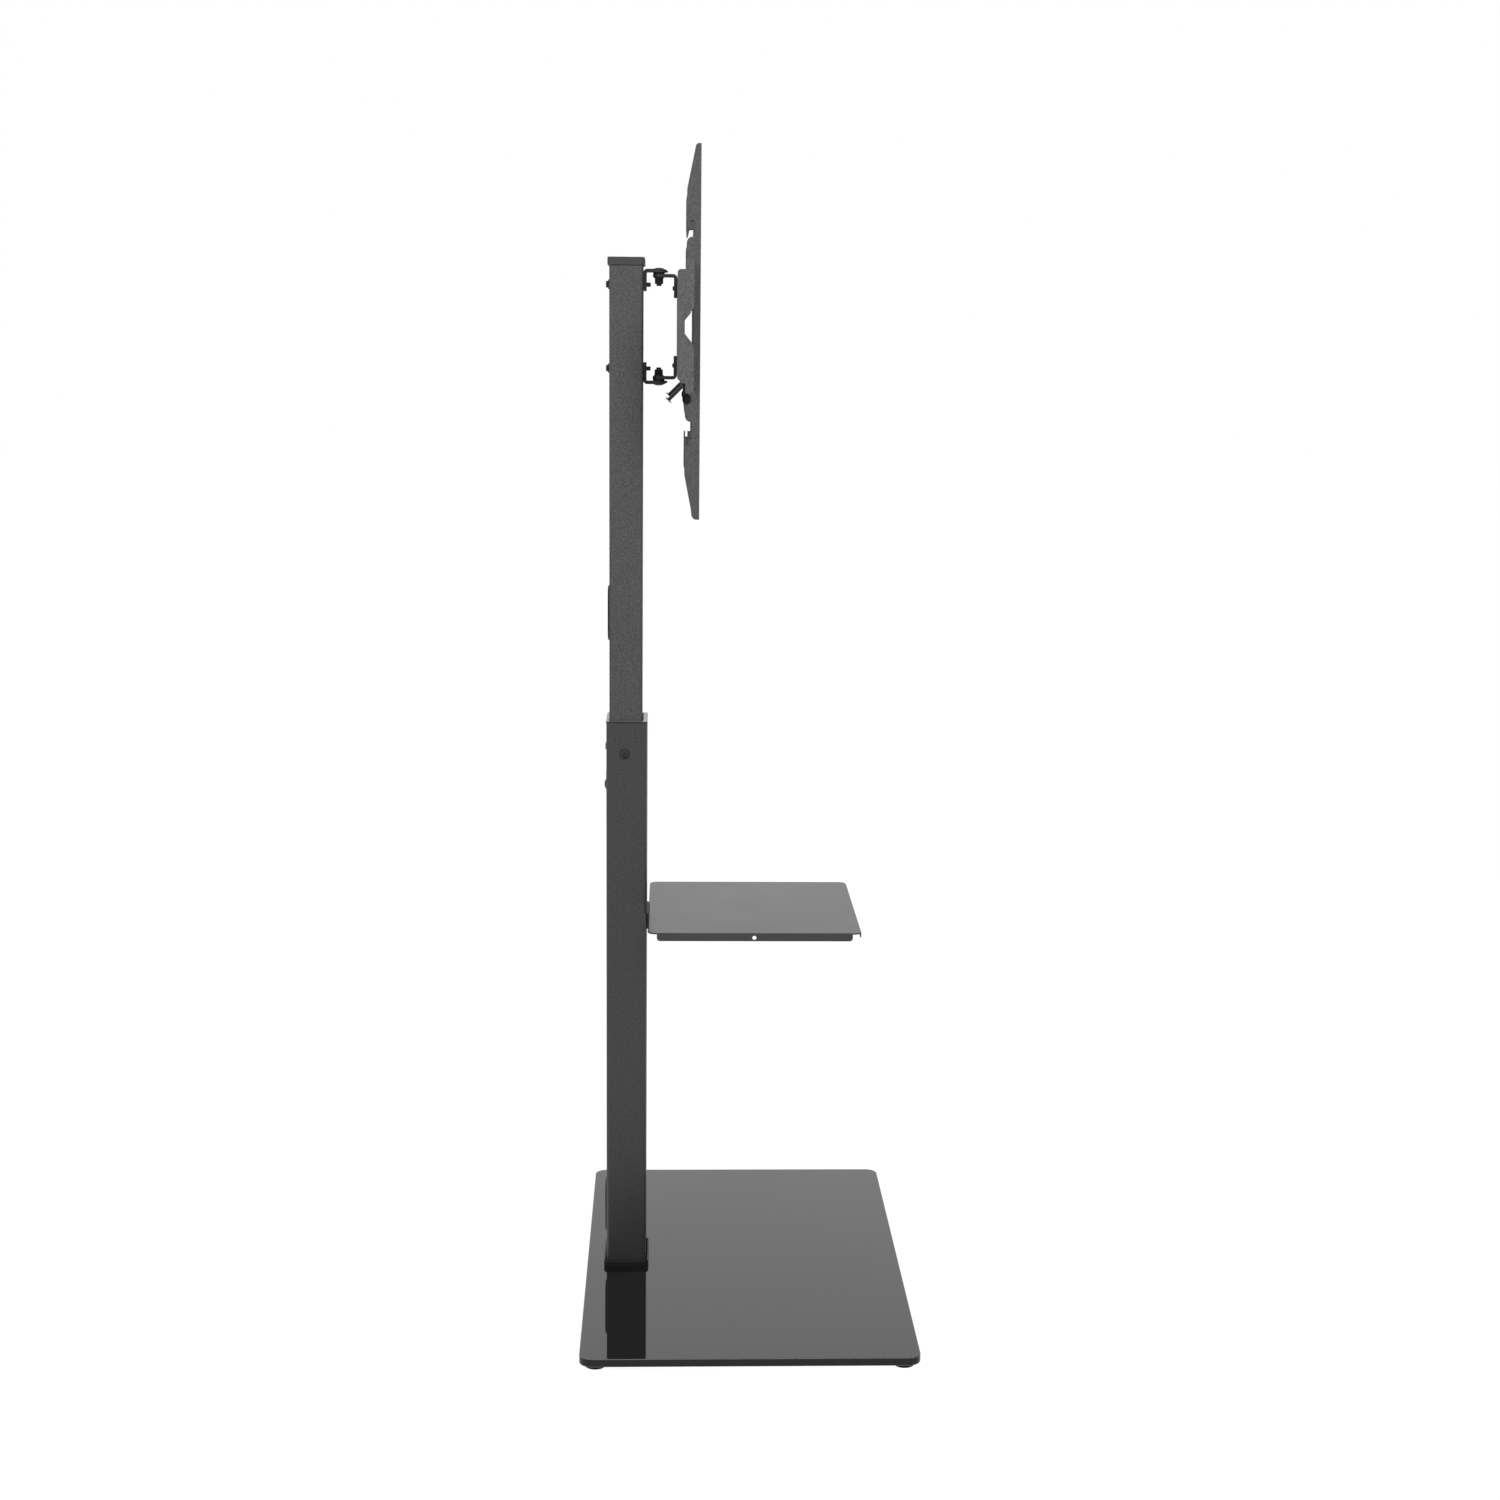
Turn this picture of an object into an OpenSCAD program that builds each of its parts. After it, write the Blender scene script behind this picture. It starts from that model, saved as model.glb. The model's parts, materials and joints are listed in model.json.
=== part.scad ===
// Floor stand for a flat screen: glass base, telescoping column, one shelf and a
// swivelling head with two hook-on arms. Millimetres, Z up, front is -Y, floor is Z 0.

/* [Show] */
// Sub-part to draw

/* [Base] */
// Glass width along X
base_width = 600; // [450:1:900]
// Glass depth along Y
base_depth = 400; // [320:1:600]
// Glass thickness
glass_thickness = 10; // [6:0.5:15]
// Glass corner radius
glass_corner = 15; // [5:1:40]
// Foot diameter
foot_diameter = 25; // [15:1:40]
// Foot height
foot_height = 6; // [5.6:0.2:15]
// Foot centre inset from the glass edges
foot_inset = 19; // [15:1:60]
// Bevel round the bottom of a foot
foot_bevel = 1; // [0.5:0.1:2]
// Rubber pad thickness under the glass and under the column
pad_thickness = 1; // [0.5:0.1:1.4]
// Clamp plate thickness
clamp_plate_thickness = 3.4; // [3.1:0.1:3.6]
// Clamp plate overhang beyond the column on each side
clamp_plate_overhang = 22; // [10:1:40]
// Base bolt diameter
base_bolt_diameter = 6; // [5:0.5:6]
// Base bolt head diameter
base_bolt_head = 11.4; // [10:0.1:12]
// Base bolt spacing along X
base_bolt_spacing_x = 44; // [36:1:46]
// Base bolt spacing along Y
base_bolt_spacing_y = 24; // [20:1:26]
// Radial clearance of the base bolts in glass, plate and pads
base_bolt_clearance = 1; // [0.3:0.1:2]
// Threaded foot plate thickness
foot_plate_thickness = 6; // [4:0.5:10]
// Foot collar height
collar_height = 8; // [5:0.5:20]
// Gap between collar and column
collar_gap = 1; // [0.5:0.1:2]
// Collar wall thickness
collar_wall = 2.3; // [1.9:0.1:6]
// Rounding of the collar top edge
collar_rounding = 1.6; // [0.5:0.1:1.8]

/* [Lower column] */
// Lower tube width along X
lower_width = 70; // [66:0.5:74]
// Lower tube depth along Y
lower_depth = 50; // [50:0.5:60]
// Lower tube wall
lower_wall = 2; // [1.5:0.1:2.2]
// Lower tube corner radius
lower_corner = 3.5; // [2.6:0.1:6]
// Height of the lower tube mouth above the floor
lower_top_z = 720; // [660:1:900]
// Distance from the glass rear edge to the column rear face
column_rear_inset = 24.8; // [15:0.1:60]
// Height of the lower cable grommet centre
lower_grommet_z = 87; // [70:1:200]
// Length of the lower cable grommet
lower_grommet_length = 72; // [50:1:100]
// Cable grommet width along X
grommet_width = 36; // [24:1:44]
// Height that a grommet stands proud of its tube
grommet_proud = 2.4; // [1.5:0.1:3]
// Width of the grommet rim round its opening
grommet_rim = 6; // [5:0.5:8]
// Overlap of a grommet face on its tube
grommet_lap = 4; // [3.5:0.5:5]
// Bevel round a grommet face
grommet_bevel = 1.2; // [0.5:0.1:1.3]
// Thickness of the snap lip inside the tube
grommet_lip = 1.2; // [0.8:0.1:1.4]
// Reach of the snap lip beyond the cut-out
grommet_lip_reach = 1.5; // [0.8:0.1:2.5]

/* [Sleeve] */
// Length of the sleeve inside the lower tube
sleeve_length = 100; // [60:1:140]
// Thickness of the sleeve flange
sleeve_flange = 2; // [1:0.1:4]
// Overhang of the sleeve flange beyond the tube
sleeve_overhang = 0.4; // [0:0.1:1.5]
// Gap between sleeve and upper column at front
sleeve_front_gap = 1.3; // [0.3:0.1:1.5]
// Running gap between sleeve and upper column at sides and rear
sleeve_gap = 0.3; // [0.25:0.05:0.5]
// Fitting gap between sleeve and lower tube
sleeve_fit = 0.1; // [0.05:0.05:0.2]

/* [Clamp screws] */
// Distance from the tube mouth down to the upper rear clamp screw
clamp_drop = 34.4; // [20:0.1:50]
// Distance between the two rear clamp screws
rear_clamp_spacing = 48; // [30:1:54]
// Rear clamp screw diameter
rear_clamp_diameter = 6; // [5:0.5:8]
// Rear clamp screw head diameter
rear_clamp_head = 11.7; // [9:0.1:14]
// Rear clamp screw head height
rear_clamp_head_height = 2.4; // [2:0.1:4]
// Side clamp screw diameter
side_clamp_diameter = 8; // [6:0.5:10]
// Side clamp screw head diameter
side_clamp_head = 13; // [11:0.1:18]
// Side clamp screw head height
side_clamp_head_height = 4; // [3:0.1:5]
// Distance from the side clamp screws to the column rear face
side_clamp_inset = 22.4; // [15:0.1:30]
// Distance from the tube mouth down to the side clamp screws
side_clamp_drop = 38.1; // [20:0.1:50]
// Gap between a clamp screw tip and the upper column
clamp_tip_gap = 0.3; // [0.3:0.05:0.5]
// Radial gap between a screw shank and its hole
screw_fit = 0.15; // [0.1:0.05:0.4]
// Washer plate thickness
washer_plate_thickness = 1; // [0.8:0.1:2]
// Washer plate width along X
washer_plate_width = 13; // [10:0.5:24]
// Washer plate length along Z
washer_plate_length = 24; // [16:1:36]
// Distance that the washer plate reaches above its screw
washer_plate_rise = 17; // [8:1:28]

/* [Shelf] */
// Height of the shelf surface
shelf_top_z = 481; // [250:1:560]
// Shelf width along X
shelf_width = 260; // [200:1:500]
// Shelf depth along Y
shelf_depth = 258; // [200:1:320]
// Gap between the shelf rear edge and the column
shelf_rear_gap = 2.2; // [2.1:0.1:5]
// Shelf sheet thickness
shelf_sheet = 1.5; // [1:0.1:3]
// Shelf corner radius
shelf_corner = 10; // [4:1:30]
// Height of the side skirts
skirt_height = 9.8; // [8:0.1:30]
// Height of the front lip
lip_height = 7.5; // [5:0.1:30]
// Rounding of the skirt lower corners
skirt_rounding = 4; // [1:0.5:5]
// Distance from the shelf front to the side skirt holes
skirt_hole_inset = 129.7; // [40:0.1:150]
// Side skirt hole diameter
skirt_hole = 5; // [3:0.5:5.5]
// Bracket sheet thickness
bracket_sheet = 2; // [1.5:0.1:3]
// Bracket width along X
bracket_width = 60; // [52:1:64]
// Bracket arm length along Y
bracket_length = 180; // [120:1:190]
// Bracket web depth at the column
bracket_root = 20; // [18:1:30]
// Bracket web depth at its front end
bracket_tip = 6; // [4:0.5:10]
// Bracket bolt diameter
bracket_bolt = 6; // [5:0.5:8]
// Bracket bolt head diameter
bracket_bolt_head = 10.5; // [9:0.1:13]
// Bracket bolt head height
bracket_bolt_head_height = 3.3; // [2.5:0.1:5]
// Bracket bolt spacing along X
bracket_bolt_spacing = 38; // [26:1:40]
// Distance from the shelf surface down to the bracket bolts
bracket_bolt_drop = 13; // [12:0.5:16]
// Nut strip thickness inside the column
nut_strip_thickness = 2.6; // [2:0.1:2.8]
// Nut strip width along X
nut_strip_width = 52; // [44:1:54]
// Nut strip height along Z
nut_strip_height = 18; // [14:1:24]
// Shelf stud diameter
stud_diameter = 5; // [4:0.5:6]
// Stud spacing along X
stud_spacing_x = 36; // [24:1:40]
// Distance from the column front to the rear studs
stud_rear_inset = 40; // [25:1:60]
// Stud spacing along Y
stud_spacing_y = 105; // [60:1:110]
// Shelf nut width across flats
nut_flats = 8; // [7:0.5:10]
// Shelf nut height
nut_height = 4; // [3:0.1:5]
// Distance that a shelf stud passes its nut
stud_past = 1; // [0.5:0.1:1.5]

/* [Upper column] */
// Upper tube width along X
upper_width = 60; // [56:0.5:64]
// Upper tube depth along Y
upper_depth = 40; // [36:0.5:44]
// Upper tube wall
upper_wall = 2; // [1.5:0.1:3]
// Upper tube corner radius
upper_corner = 3; // [2.6:0.1:5]
// Step from the lower tube rear face to the upper tube rear face
upper_rear_step = 3.7; // [3.5:0.1:5]
// Length of the upper tube above the upper column bracket
tube_above_bracket = 10.9; // [9:0.1:40]
// Length of the upper tube inside the lower tube
upper_hidden = 300; // [260:1:320]
// Clearance between top cap and upper tube
cap_fit = 0.15; // [0.1:0.05:0.3]
// Top cap wall
cap_wall = 2; // [1.2:0.1:3]
// Top cap height
cap_height = 9.5; // [6:0.5:20]
// Rounding of the top cap edge
cap_rounding = 1.8; // [0.5:0.1:3]
// Distance from the upper grommet centre to the tube mouth at rest
upper_grommet_rise = 131.6; // [128:0.1:200]
// Length of the upper cable grommet
upper_grommet_length = 68; // [50:1:100]
// Height of the glide on the lower end of the upper tube
glide_height = 30; // [15:1:60]
// Running gap between glide and lower tube
glide_gap = 0.35; // [0.3:0.05:0.6]
// Wall of the glide inside the upper tube
glide_wall = 3; // [2:0.5:5]
// Height of the glide flange below the upper tube
glide_flange = 10; // [5:1:20]
// Fitting gap between glide and upper tube
glide_fit = 0.1; // [0.05:0.05:0.2]
// Gap between the glide recess and the nut strip
glide_recess_gap = 0.8; // [0.5:0.1:0.9]

/* [Pivot] */
// Height of the middle of the head
head_z = 1196.4; // [1150:0.1:1205]
// Distance between the outer faces of the two column brackets
bracket_span = 135.4; // [120:0.1:140]
// Column and head bracket thickness
plate_thickness = 4; // [3:0.5:4.5]
// Width of the column brackets
strip_width = 21.2; // [20:0.2:30]
// Width of the head brackets
head_strip_width = 14.6; // [14:0.2:30]
// Length of the slope at the free end of a column bracket
nose_run = 4.2; // [2:0.1:4.4]
// Drop of the slope at the free end of a column bracket
nose_drop = 2; // [0.5:0.1:2.4]
// Outer bend radius of the brackets
bend_radius = 5; // [4.6:0.1:6]
// Length of the column bracket legs along Z
column_leg = 25.8; // [24:0.1:32]
// Distance from the upper tube front to the pivot axis
pivot_reach = 18.7; // [16:0.1:26]
// Distance from the pivot axis to the head plate rear face
plate_reach = 21.8; // [20:0.1:26]
// Length of the head bracket legs along Z
head_leg = 27.9; // [20:0.1:36]
// Pivot bolt diameter
pivot_bolt = 6; // [5:0.5:8]
// Radial gap between pivot bolt and head bracket bore
pivot_gap = 0.3; // [0.3:0.05:0.5]
// Pivot bolt head diameter
pivot_head = 12; // [11:0.1:18]
// Pivot bolt head height
pivot_head_height = 1.9; // [1.4:0.1:5]
// Friction washer thickness
friction_washer = 1.7; // [1:0.1:3]
// Friction washer diameter
friction_washer_diameter = 14; // [12:0.5:20]
// Pivot washer thickness
pivot_washer = 1; // [0.8:0.1:1.6]
// Pivot washer diameter
pivot_washer_diameter = 12; // [12:0.5:18]
// Pivot nut width across flats
pivot_nut_flats = 10; // [9:0.5:13]
// Pivot nut height
pivot_nut_height = 6.7; // [5:0.1:8]
// Length of pivot bolt past its nut
pivot_bolt_past = 2.4; // [1:0.1:5]
// Distance from a bracket outer face to its through bolt
through_bolt_drop = 18.4; // [16:0.1:20]
// Through bolt diameter
through_bolt = 5; // [4:0.5:6]
// Through bolt head diameter
through_head = 8; // [7:0.1:12]
// Through bolt head height
through_head_height = 2.6; // [2.5:0.1:5]
// Through bolt washer diameter
through_washer_diameter = 11.5; // [11:0.5:18]
// Through bolt washer thickness
through_washer = 2; // [0.8:0.1:2.4]
// Length of through bolt past its bracket
through_past = 4.9; // [1:0.1:6]

/* [Head plate] */
// Head plate width along X
plate_width = 468; // [400:1:700]
// Head plate sheet thickness
plate_sheet = 2; // [1.5:0.1:2.6]
// Height of the pan between its two steps
pan_height = 123; // [118:0.5:150]
// Distance from the middle of the head down to the middle of the pan
pan_drop = 0.7; // [0:0.1:3]
// Height of each rail beyond its step
rail_height = 11; // [9:0.1:14]
// Distance from the pan rear face to the rail rear face
rail_reach = 13.7; // [12.5:0.1:14]
// Rise of the pan chamfer at the bottom step
pan_chamfer = 5; // [2:0.5:6]
// Distance from the pan rear face to the end flange front edge
flange_reach = 18.3; // [17.8:0.1:19]
// Distance from the pan rear face to the end flange rear edge beside a rail
flange_step = 8.8; // [8:0.1:11]
// Rounding of the end flange corners
flange_rounding = 2.5; // [1:0.1:4]
// Head plate screw diameter
plate_screw = 5; // [4:0.5:6]
// Distance from a head bracket outer face to its plate screw
plate_screw_drop = 16.6; // [15:0.1:20]
// Length of plate screw past its bracket
plate_screw_past = 1.6; // [0.5:0.1:3]
// Height of the end flange window at the flange front edge
window_tall = 40.8; // [24:0.2:60]
// Height of the end flange window at its inner edge
window_short = 15.8; // [6:0.2:22]
// Depth of the end flange window along Y
window_depth = 10.2; // [4:0.1:12]

/* [Arms] */
// Distance between the two arm centres at rest
arm_spacing = 200; // [120:1:300]
// Distance from an outer screen hole to the arm end
arm_end = 12.65; // [10:0.05:40]
// Distance from the middle of the head up to the arm top
arm_rise = 204.1; // [200:0.1:240]
// Arm width along X
arm_width = 34; // [28:1:44]
// Arm sheet thickness
arm_sheet = 2; // [1.5:0.1:2.5]
// Distance from the pan rear face to the arm front face
arm_reach = 26.6; // [26:0.1:34]
// Sliding gap between hooks and rails
hook_gap = 0.3; // [0.3:0.05:0.5]
// Thickness of the hook fingers
finger_thickness = 2.9; // [1.8:0.1:3]
// Screen hole radius
screen_hole_radius = 4.25; // [3:0.05:4.5]
// Height between the outer screen holes
screen_hole_tall = 400; // [380:1:400]
// Height between the inner screen holes
screen_hole_short = 200; // [150:1:220]
// Distance between a screen slot and the round holes beside it
screen_web = 15.75; // [5:0.25:20]
// Length of the safety tab along X
tab_length = 14; // [12:0.5:18]
// Width of the safety tab
tab_width = 8; // [7:0.5:8]
// Safety screw diameter
safety_screw = 4; // [3:0.5:4]
// Safety screw length from its tab to its head
safety_length = 22.3; // [16:0.1:30]
// Safety screw head diameter
safety_head = 8.6; // [7:0.1:10]
// Safety screw head height
safety_head_height = 1.2; // [1:0.1:3]
// Depth of the lower hook below the lower rail
slot_drop = 13.3; // [12:0.1:16]
// Hook clip height
clip_height = 11.5; // [8:0.5:14]
// Hook clip cheek thickness
clip_cheek = 2; // [1.5:0.1:3]
// Hook clip back thickness
clip_back = 1; // [0.8:0.1:2]

/* [Hidden] */
$fn = 72;
cut = 1;
steel = [0.24, 0.24, 0.25];
dark = [0.09, 0.09, 0.1];
grey = [0.42, 0.42, 0.43];
zinc = [0.7, 0.7, 0.72];

glass_bottom_z = foot_height;
glass_top_z = glass_bottom_z + glass_thickness;
pad_bottom_z = glass_bottom_z - pad_thickness;
clamp_bottom_z = pad_bottom_z - clamp_plate_thickness;
column_bottom_z = glass_top_z + pad_thickness;
foot_plate_top_z = column_bottom_z + foot_plate_thickness;
column_rear_y = base_depth / 2 - column_rear_inset;
column_y = column_rear_y - lower_depth / 2;
column_front_y = column_rear_y - lower_depth;
lower_length = lower_top_z - column_bottom_z;
base_bolt_hole = base_bolt_diameter + 2 * base_bolt_clearance;
base_bolt_sink = (base_bolt_head - base_bolt_diameter) / 2;

upper_rear_y = column_rear_y - upper_rear_step;
upper_y = upper_rear_y - upper_depth / 2;
upper_front_y = upper_rear_y - upper_depth;
upper_bottom_z = lower_top_z - upper_hidden;
upper_grommet_z = lower_top_z + upper_grommet_rise;
clamp_z = lower_top_z - clamp_drop;
side_clamp_y = column_rear_y - side_clamp_inset;
side_clamp_z = lower_top_z - side_clamp_drop;

shelf_under_z = shelf_top_z - shelf_sheet;
shelf_rear_y = column_front_y - shelf_rear_gap;
shelf_front_y = shelf_rear_y - shelf_depth;
shelf_y = (shelf_rear_y + shelf_front_y) / 2;
bracket_bolt_z = shelf_top_z - bracket_bolt_drop;
bracket_under_z = shelf_under_z - bracket_sheet;
stud_y = column_front_y - stud_rear_inset - stud_spacing_y / 2;

pivot_y = upper_front_y - pivot_reach;
bracket_top_z = head_z + bracket_span / 2;
upper_top_z = bracket_top_z + tube_above_bracket;
bracket_inner_z = bracket_top_z - plate_thickness;
head_top_z = bracket_inner_z - friction_washer;
head_inner_z = head_top_z - plate_thickness;
pivot_nut_top_z = head_inner_z - pivot_washer;
pivot_nut_bottom_z = pivot_nut_top_z - pivot_nut_height;
pan_rear_y = pivot_y - plate_reach;
through_bolt_z = bracket_top_z - through_bolt_drop;
plate_screw_z = head_top_z - plate_screw_drop;

pan_mid_z = head_z - pan_drop;
pan_top_z = pan_mid_z + pan_height / 2;
pan_bottom_z = pan_mid_z - pan_height / 2;
rail_top_z = pan_top_z + rail_height;
rail_bottom_z = pan_bottom_z - rail_height;
rail_rear_y = pan_rear_y - rail_reach;
rail_front_y = rail_rear_y - plate_sheet;
flange_front_y = pan_rear_y - flange_reach;
flange_rear_y = pan_rear_y - flange_step;

arm_front_y = pan_rear_y - arm_reach;
arm_length = screen_hole_tall + 2 * arm_end;
arm_top_z = head_z + arm_rise;
arm_bottom_z = arm_top_z - arm_length;
arm_mid_z = arm_top_z - arm_length / 2;
arm_rear_y = flange_front_y - hook_gap;
slot_front_y = rail_front_y - hook_gap;
finger_front_y = rail_rear_y + hook_gap;
finger_rear_y = finger_front_y + finger_thickness;
finger_low_z = pan_top_z + 2.5;
finger_high_z = pan_bottom_z - 3.5;
seat_top_z = rail_top_z + hook_gap;
seat_bottom_z = rail_bottom_z - slot_drop;
web_x = arm_width / 2 - arm_sheet / 2;
tab_centre_y = finger_rear_y + 4.1;
tab_centre_z = finger_high_z - 1.5;
tip_gap = 0.4;
tip_length = (pan_bottom_z - tab_centre_z) / sin(45) - safety_screw / 2 - tip_gap;

// Rounded rectangle about the origin.
module rounded_rect(x, y, r) {
    square([x - 2 * r, y], center = true);
    square([x, y - 2 * r], center = true);
    for (i = [-1, 1], j = [-1, 1])
        translate([i * (x / 2 - r), j * (y / 2 - r)])
            circle(r);
}

// Rounded rectangle prism standing on Z 0 with a rounded top edge.
module soft_prism(x, y, r, h, e) {
    intersection() {
        linear_extrude(h)
            rounded_rect(x, y, r);
        rotate([90, 0, 0])
            linear_extrude(y + 2 * cut, center = true)
                soft_profile(x, h, e);
        rotate([90, 0, 90])
            linear_extrude(x + 2 * cut, center = true)
                soft_profile(y, h, e);
    }
}

// Profile with its base on the X axis and two rounded top corners.
module soft_profile(w, h, e) {
    translate([-w / 2, 0])
        square([w, h - e]);
    translate([-w / 2 + e, 0])
        square([w - 2 * e, h]);
    for (i = [-1, 1])
        translate([i * (w / 2 - e), h - e])
            circle(e);
}

// Stadium of the given length along Y and width along X.
module stadium(length, width) {
    square([width, length - width], center = true);
    for (j = [-1, 1])
        translate([0, j * (length - width) / 2])
            circle(width / 2);
}

// Stadium prism on Z 0 with a bevelled top edge.
module bevelled_stadium(length, width, h, b) {
    straight = length - width;
    rotate([90, 0, 0])
        linear_extrude(straight, center = true)
            polygon([[-width / 2, 0], [width / 2, 0], [width / 2, h - b],
                     [width / 2 - b, h], [-width / 2 + b, h], [-width / 2, h - b]]);
    for (j = [-1, 1])
        translate([0, j * straight / 2, 0]) {
            cylinder(h = h - b, d = width);
            translate([0, 0, h - b])
                cylinder(h = b, r1 = width / 2, r2 = width / 2 - b);
        }
}

// Repeats children at the four base bolt positions.
module at_base_bolts() {
    for (i = [-1, 1], j = [-1, 1])
        translate([i * base_bolt_spacing_x / 2, column_y + j * base_bolt_spacing_y / 2, 0])
            children();
}

// Turns a shape drawn in Y and Z into a prism along X, centred on X 0.
module along_x(width) {
    rotate([90, 0, 90])
        linear_extrude(width, center = true)
            children();
}

// Mirrors children about the middle height of the head.
module below_head() {
    translate([0, 0, 2 * head_z])
        mirror([0, 0, 1])
            children();
}

module glass_base() {
    color(dark)
    difference() {
        translate([0, 0, glass_bottom_z])
            linear_extrude(glass_thickness)
                rounded_rect(base_width, base_depth, glass_corner);
        at_base_bolts()
            translate([0, 0, glass_bottom_z - cut])
                cylinder(h = glass_thickness + 2 * cut, d = base_bolt_hole);
    }
}

module rubber_feet() {
    color(dark)
    for (i = [-1, 1], j = [-1, 1])
        translate([i * (base_width / 2 - foot_inset), j * (base_depth / 2 - foot_inset), 0]) {
            cylinder(h = foot_bevel, d1 = foot_diameter - 2 * foot_bevel, d2 = foot_diameter);
            translate([0, 0, foot_bevel])
                cylinder(h = foot_height - foot_bevel, d = foot_diameter);
        }
}

// Outline shared by the clamp plate and the pad above it.
module clamp_outline() {
    rounded_rect(lower_width + 2 * clamp_plate_overhang, lower_depth + 2 * clamp_plate_overhang,
                 lower_corner * 2);
}

module clamp_pad() {
    color(dark)
    difference() {
        translate([0, column_y, pad_bottom_z])
            linear_extrude(pad_thickness)
                clamp_outline();
        at_base_bolts()
            translate([0, 0, pad_bottom_z - cut])
                cylinder(h = pad_thickness + 2 * cut, d = base_bolt_hole);
    }
}

module clamp_plate() {
    color(zinc)
    difference() {
        translate([0, column_y, clamp_bottom_z])
            linear_extrude(clamp_plate_thickness)
                clamp_outline();
        at_base_bolts() {
            translate([0, 0, clamp_bottom_z - cut])
                cylinder(h = clamp_plate_thickness + 2 * cut,
                         d = base_bolt_diameter + 2 * screw_fit);
            translate([0, 0, clamp_bottom_z])
                cylinder(h = base_bolt_sink + screw_fit, d1 = base_bolt_head + 2 * screw_fit,
                         d2 = base_bolt_diameter);
            translate([0, 0, clamp_bottom_z - cut])
                cylinder(h = cut, d = base_bolt_head + 2 * screw_fit);
        }
    }
}

module base_bolts() {
    color(zinc)
    at_base_bolts() {
        translate([0, 0, clamp_bottom_z + screw_fit])
            cylinder(h = base_bolt_sink, d1 = base_bolt_head, d2 = base_bolt_diameter);
        translate([0, 0, clamp_bottom_z + screw_fit])
            cylinder(h = foot_plate_top_z - clamp_bottom_z - screw_fit, d = base_bolt_diameter);
    }
}

module foot_gasket() {
    color(dark)
    difference() {
        translate([0, column_y, glass_top_z])
            linear_extrude(pad_thickness)
                rounded_rect(lower_width, lower_depth, lower_corner);
        at_base_bolts()
            translate([0, 0, glass_top_z - cut])
                cylinder(h = pad_thickness + 2 * cut, d = base_bolt_hole);
    }
}

module foot_plate() {
    color(zinc)
    difference() {
        translate([0, column_y, column_bottom_z])
            linear_extrude(foot_plate_thickness)
                rounded_rect(lower_width - 2 * lower_wall - 2 * sleeve_fit,
                             lower_depth - 2 * lower_wall - 2 * sleeve_fit,
                             lower_corner - lower_wall);
        at_base_bolts()
            translate([0, 0, column_bottom_z - cut])
                cylinder(h = foot_plate_thickness + 2 * cut,
                         d = base_bolt_diameter + 2 * screw_fit);
    }
}

module foot_collar() {
    color(dark)
    translate([0, column_y, glass_top_z])
        difference() {
            soft_prism(lower_width + 2 * (collar_gap + collar_wall),
                       lower_depth + 2 * (collar_gap + collar_wall),
                       lower_corner + collar_gap + collar_wall, collar_height, collar_rounding);
            translate([0, 0, -cut])
                linear_extrude(collar_height + 2 * cut)
                    rounded_rect(lower_width + 2 * collar_gap, lower_depth + 2 * collar_gap,
                                 lower_corner + collar_gap);
        }
}

// Cut-out that a grommet of the given length snaps into, along +Y from its tube rear face.
module grommet_cutout(length) {
    rotate([90, 0, 0])
        linear_extrude(4 * lower_wall, center = true)
            stadium(length - 2 * grommet_lap, grommet_width - 2 * grommet_lap);
}

// Grommet on a rear face at Y 0, with its body through a wall of the given thickness.
module grommet(length, wall) {
    color(dark)
    difference() {
        union() {
            rotate([-90, 0, 0])
                bevelled_stadium(length, grommet_width, grommet_proud, grommet_bevel);
            translate([0, -wall - grommet_lip, 0])
                rotate([-90, 0, 0])
                    linear_extrude(wall + grommet_lip)
                        stadium(length - 2 * grommet_lap - 2 * sleeve_fit,
                                grommet_width - 2 * grommet_lap - 2 * sleeve_fit);
            translate([0, -wall - grommet_lip, 0])
                rotate([-90, 0, 0])
                    linear_extrude(grommet_lip)
                        stadium(length - 2 * grommet_lap + 2 * grommet_lip_reach,
                                grommet_width - 2 * grommet_lap + 2 * grommet_lip_reach);
        }
        translate([0, -wall - grommet_lip - cut, 0])
            rotate([-90, 0, 0])
                linear_extrude(wall + grommet_lip + grommet_proud + 2 * cut)
                    stadium(length - 2 * grommet_rim, grommet_width - 2 * grommet_rim);
    }
}

// Rounded rectangular tube standing on Z 0.
module tube(x, y, r, wall, h) {
    difference() {
        linear_extrude(h)
            rounded_rect(x, y, r);
        translate([0, 0, -cut])
            linear_extrude(h + 2 * cut)
                rounded_rect(x - 2 * wall, y - 2 * wall, r - wall);
    }
}

// Shanks of the rear clamp screws, used to drill tube and sleeve.
module rear_clamp_shanks(d) {
    for (z = [clamp_z, clamp_z - rear_clamp_spacing])
        translate([0, upper_rear_y + clamp_tip_gap, z])
            rotate([-90, 0, 0])
                cylinder(h = column_rear_y - upper_rear_y - clamp_tip_gap, d = d);
}

// Shanks of the side clamp screws, used to drill tube and sleeve.
module side_clamp_shanks(d) {
    length = (lower_width - upper_width) / 2 - clamp_tip_gap;
    for (i = [-1, 1])
        translate([i * (upper_width / 2 + clamp_tip_gap), side_clamp_y, side_clamp_z])
            rotate([0, i * 90, 0])
                cylinder(h = length, d = d);
}

// Holes for the clamp screws, run past both faces of tube wall and sleeve.
module clamp_holes() {
    for (z = [clamp_z, clamp_z - rear_clamp_spacing])
        translate([0, upper_rear_y - cut, z])
            rotate([-90, 0, 0])
                cylinder(h = upper_rear_step + 2 * cut, d = rear_clamp_diameter + 2 * screw_fit);
    translate([0, side_clamp_y, side_clamp_z])
        rotate([0, 90, 0])
            cylinder(h = lower_width + 2 * cut, d = side_clamp_diameter + 2 * screw_fit,
                     center = true);
}

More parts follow.
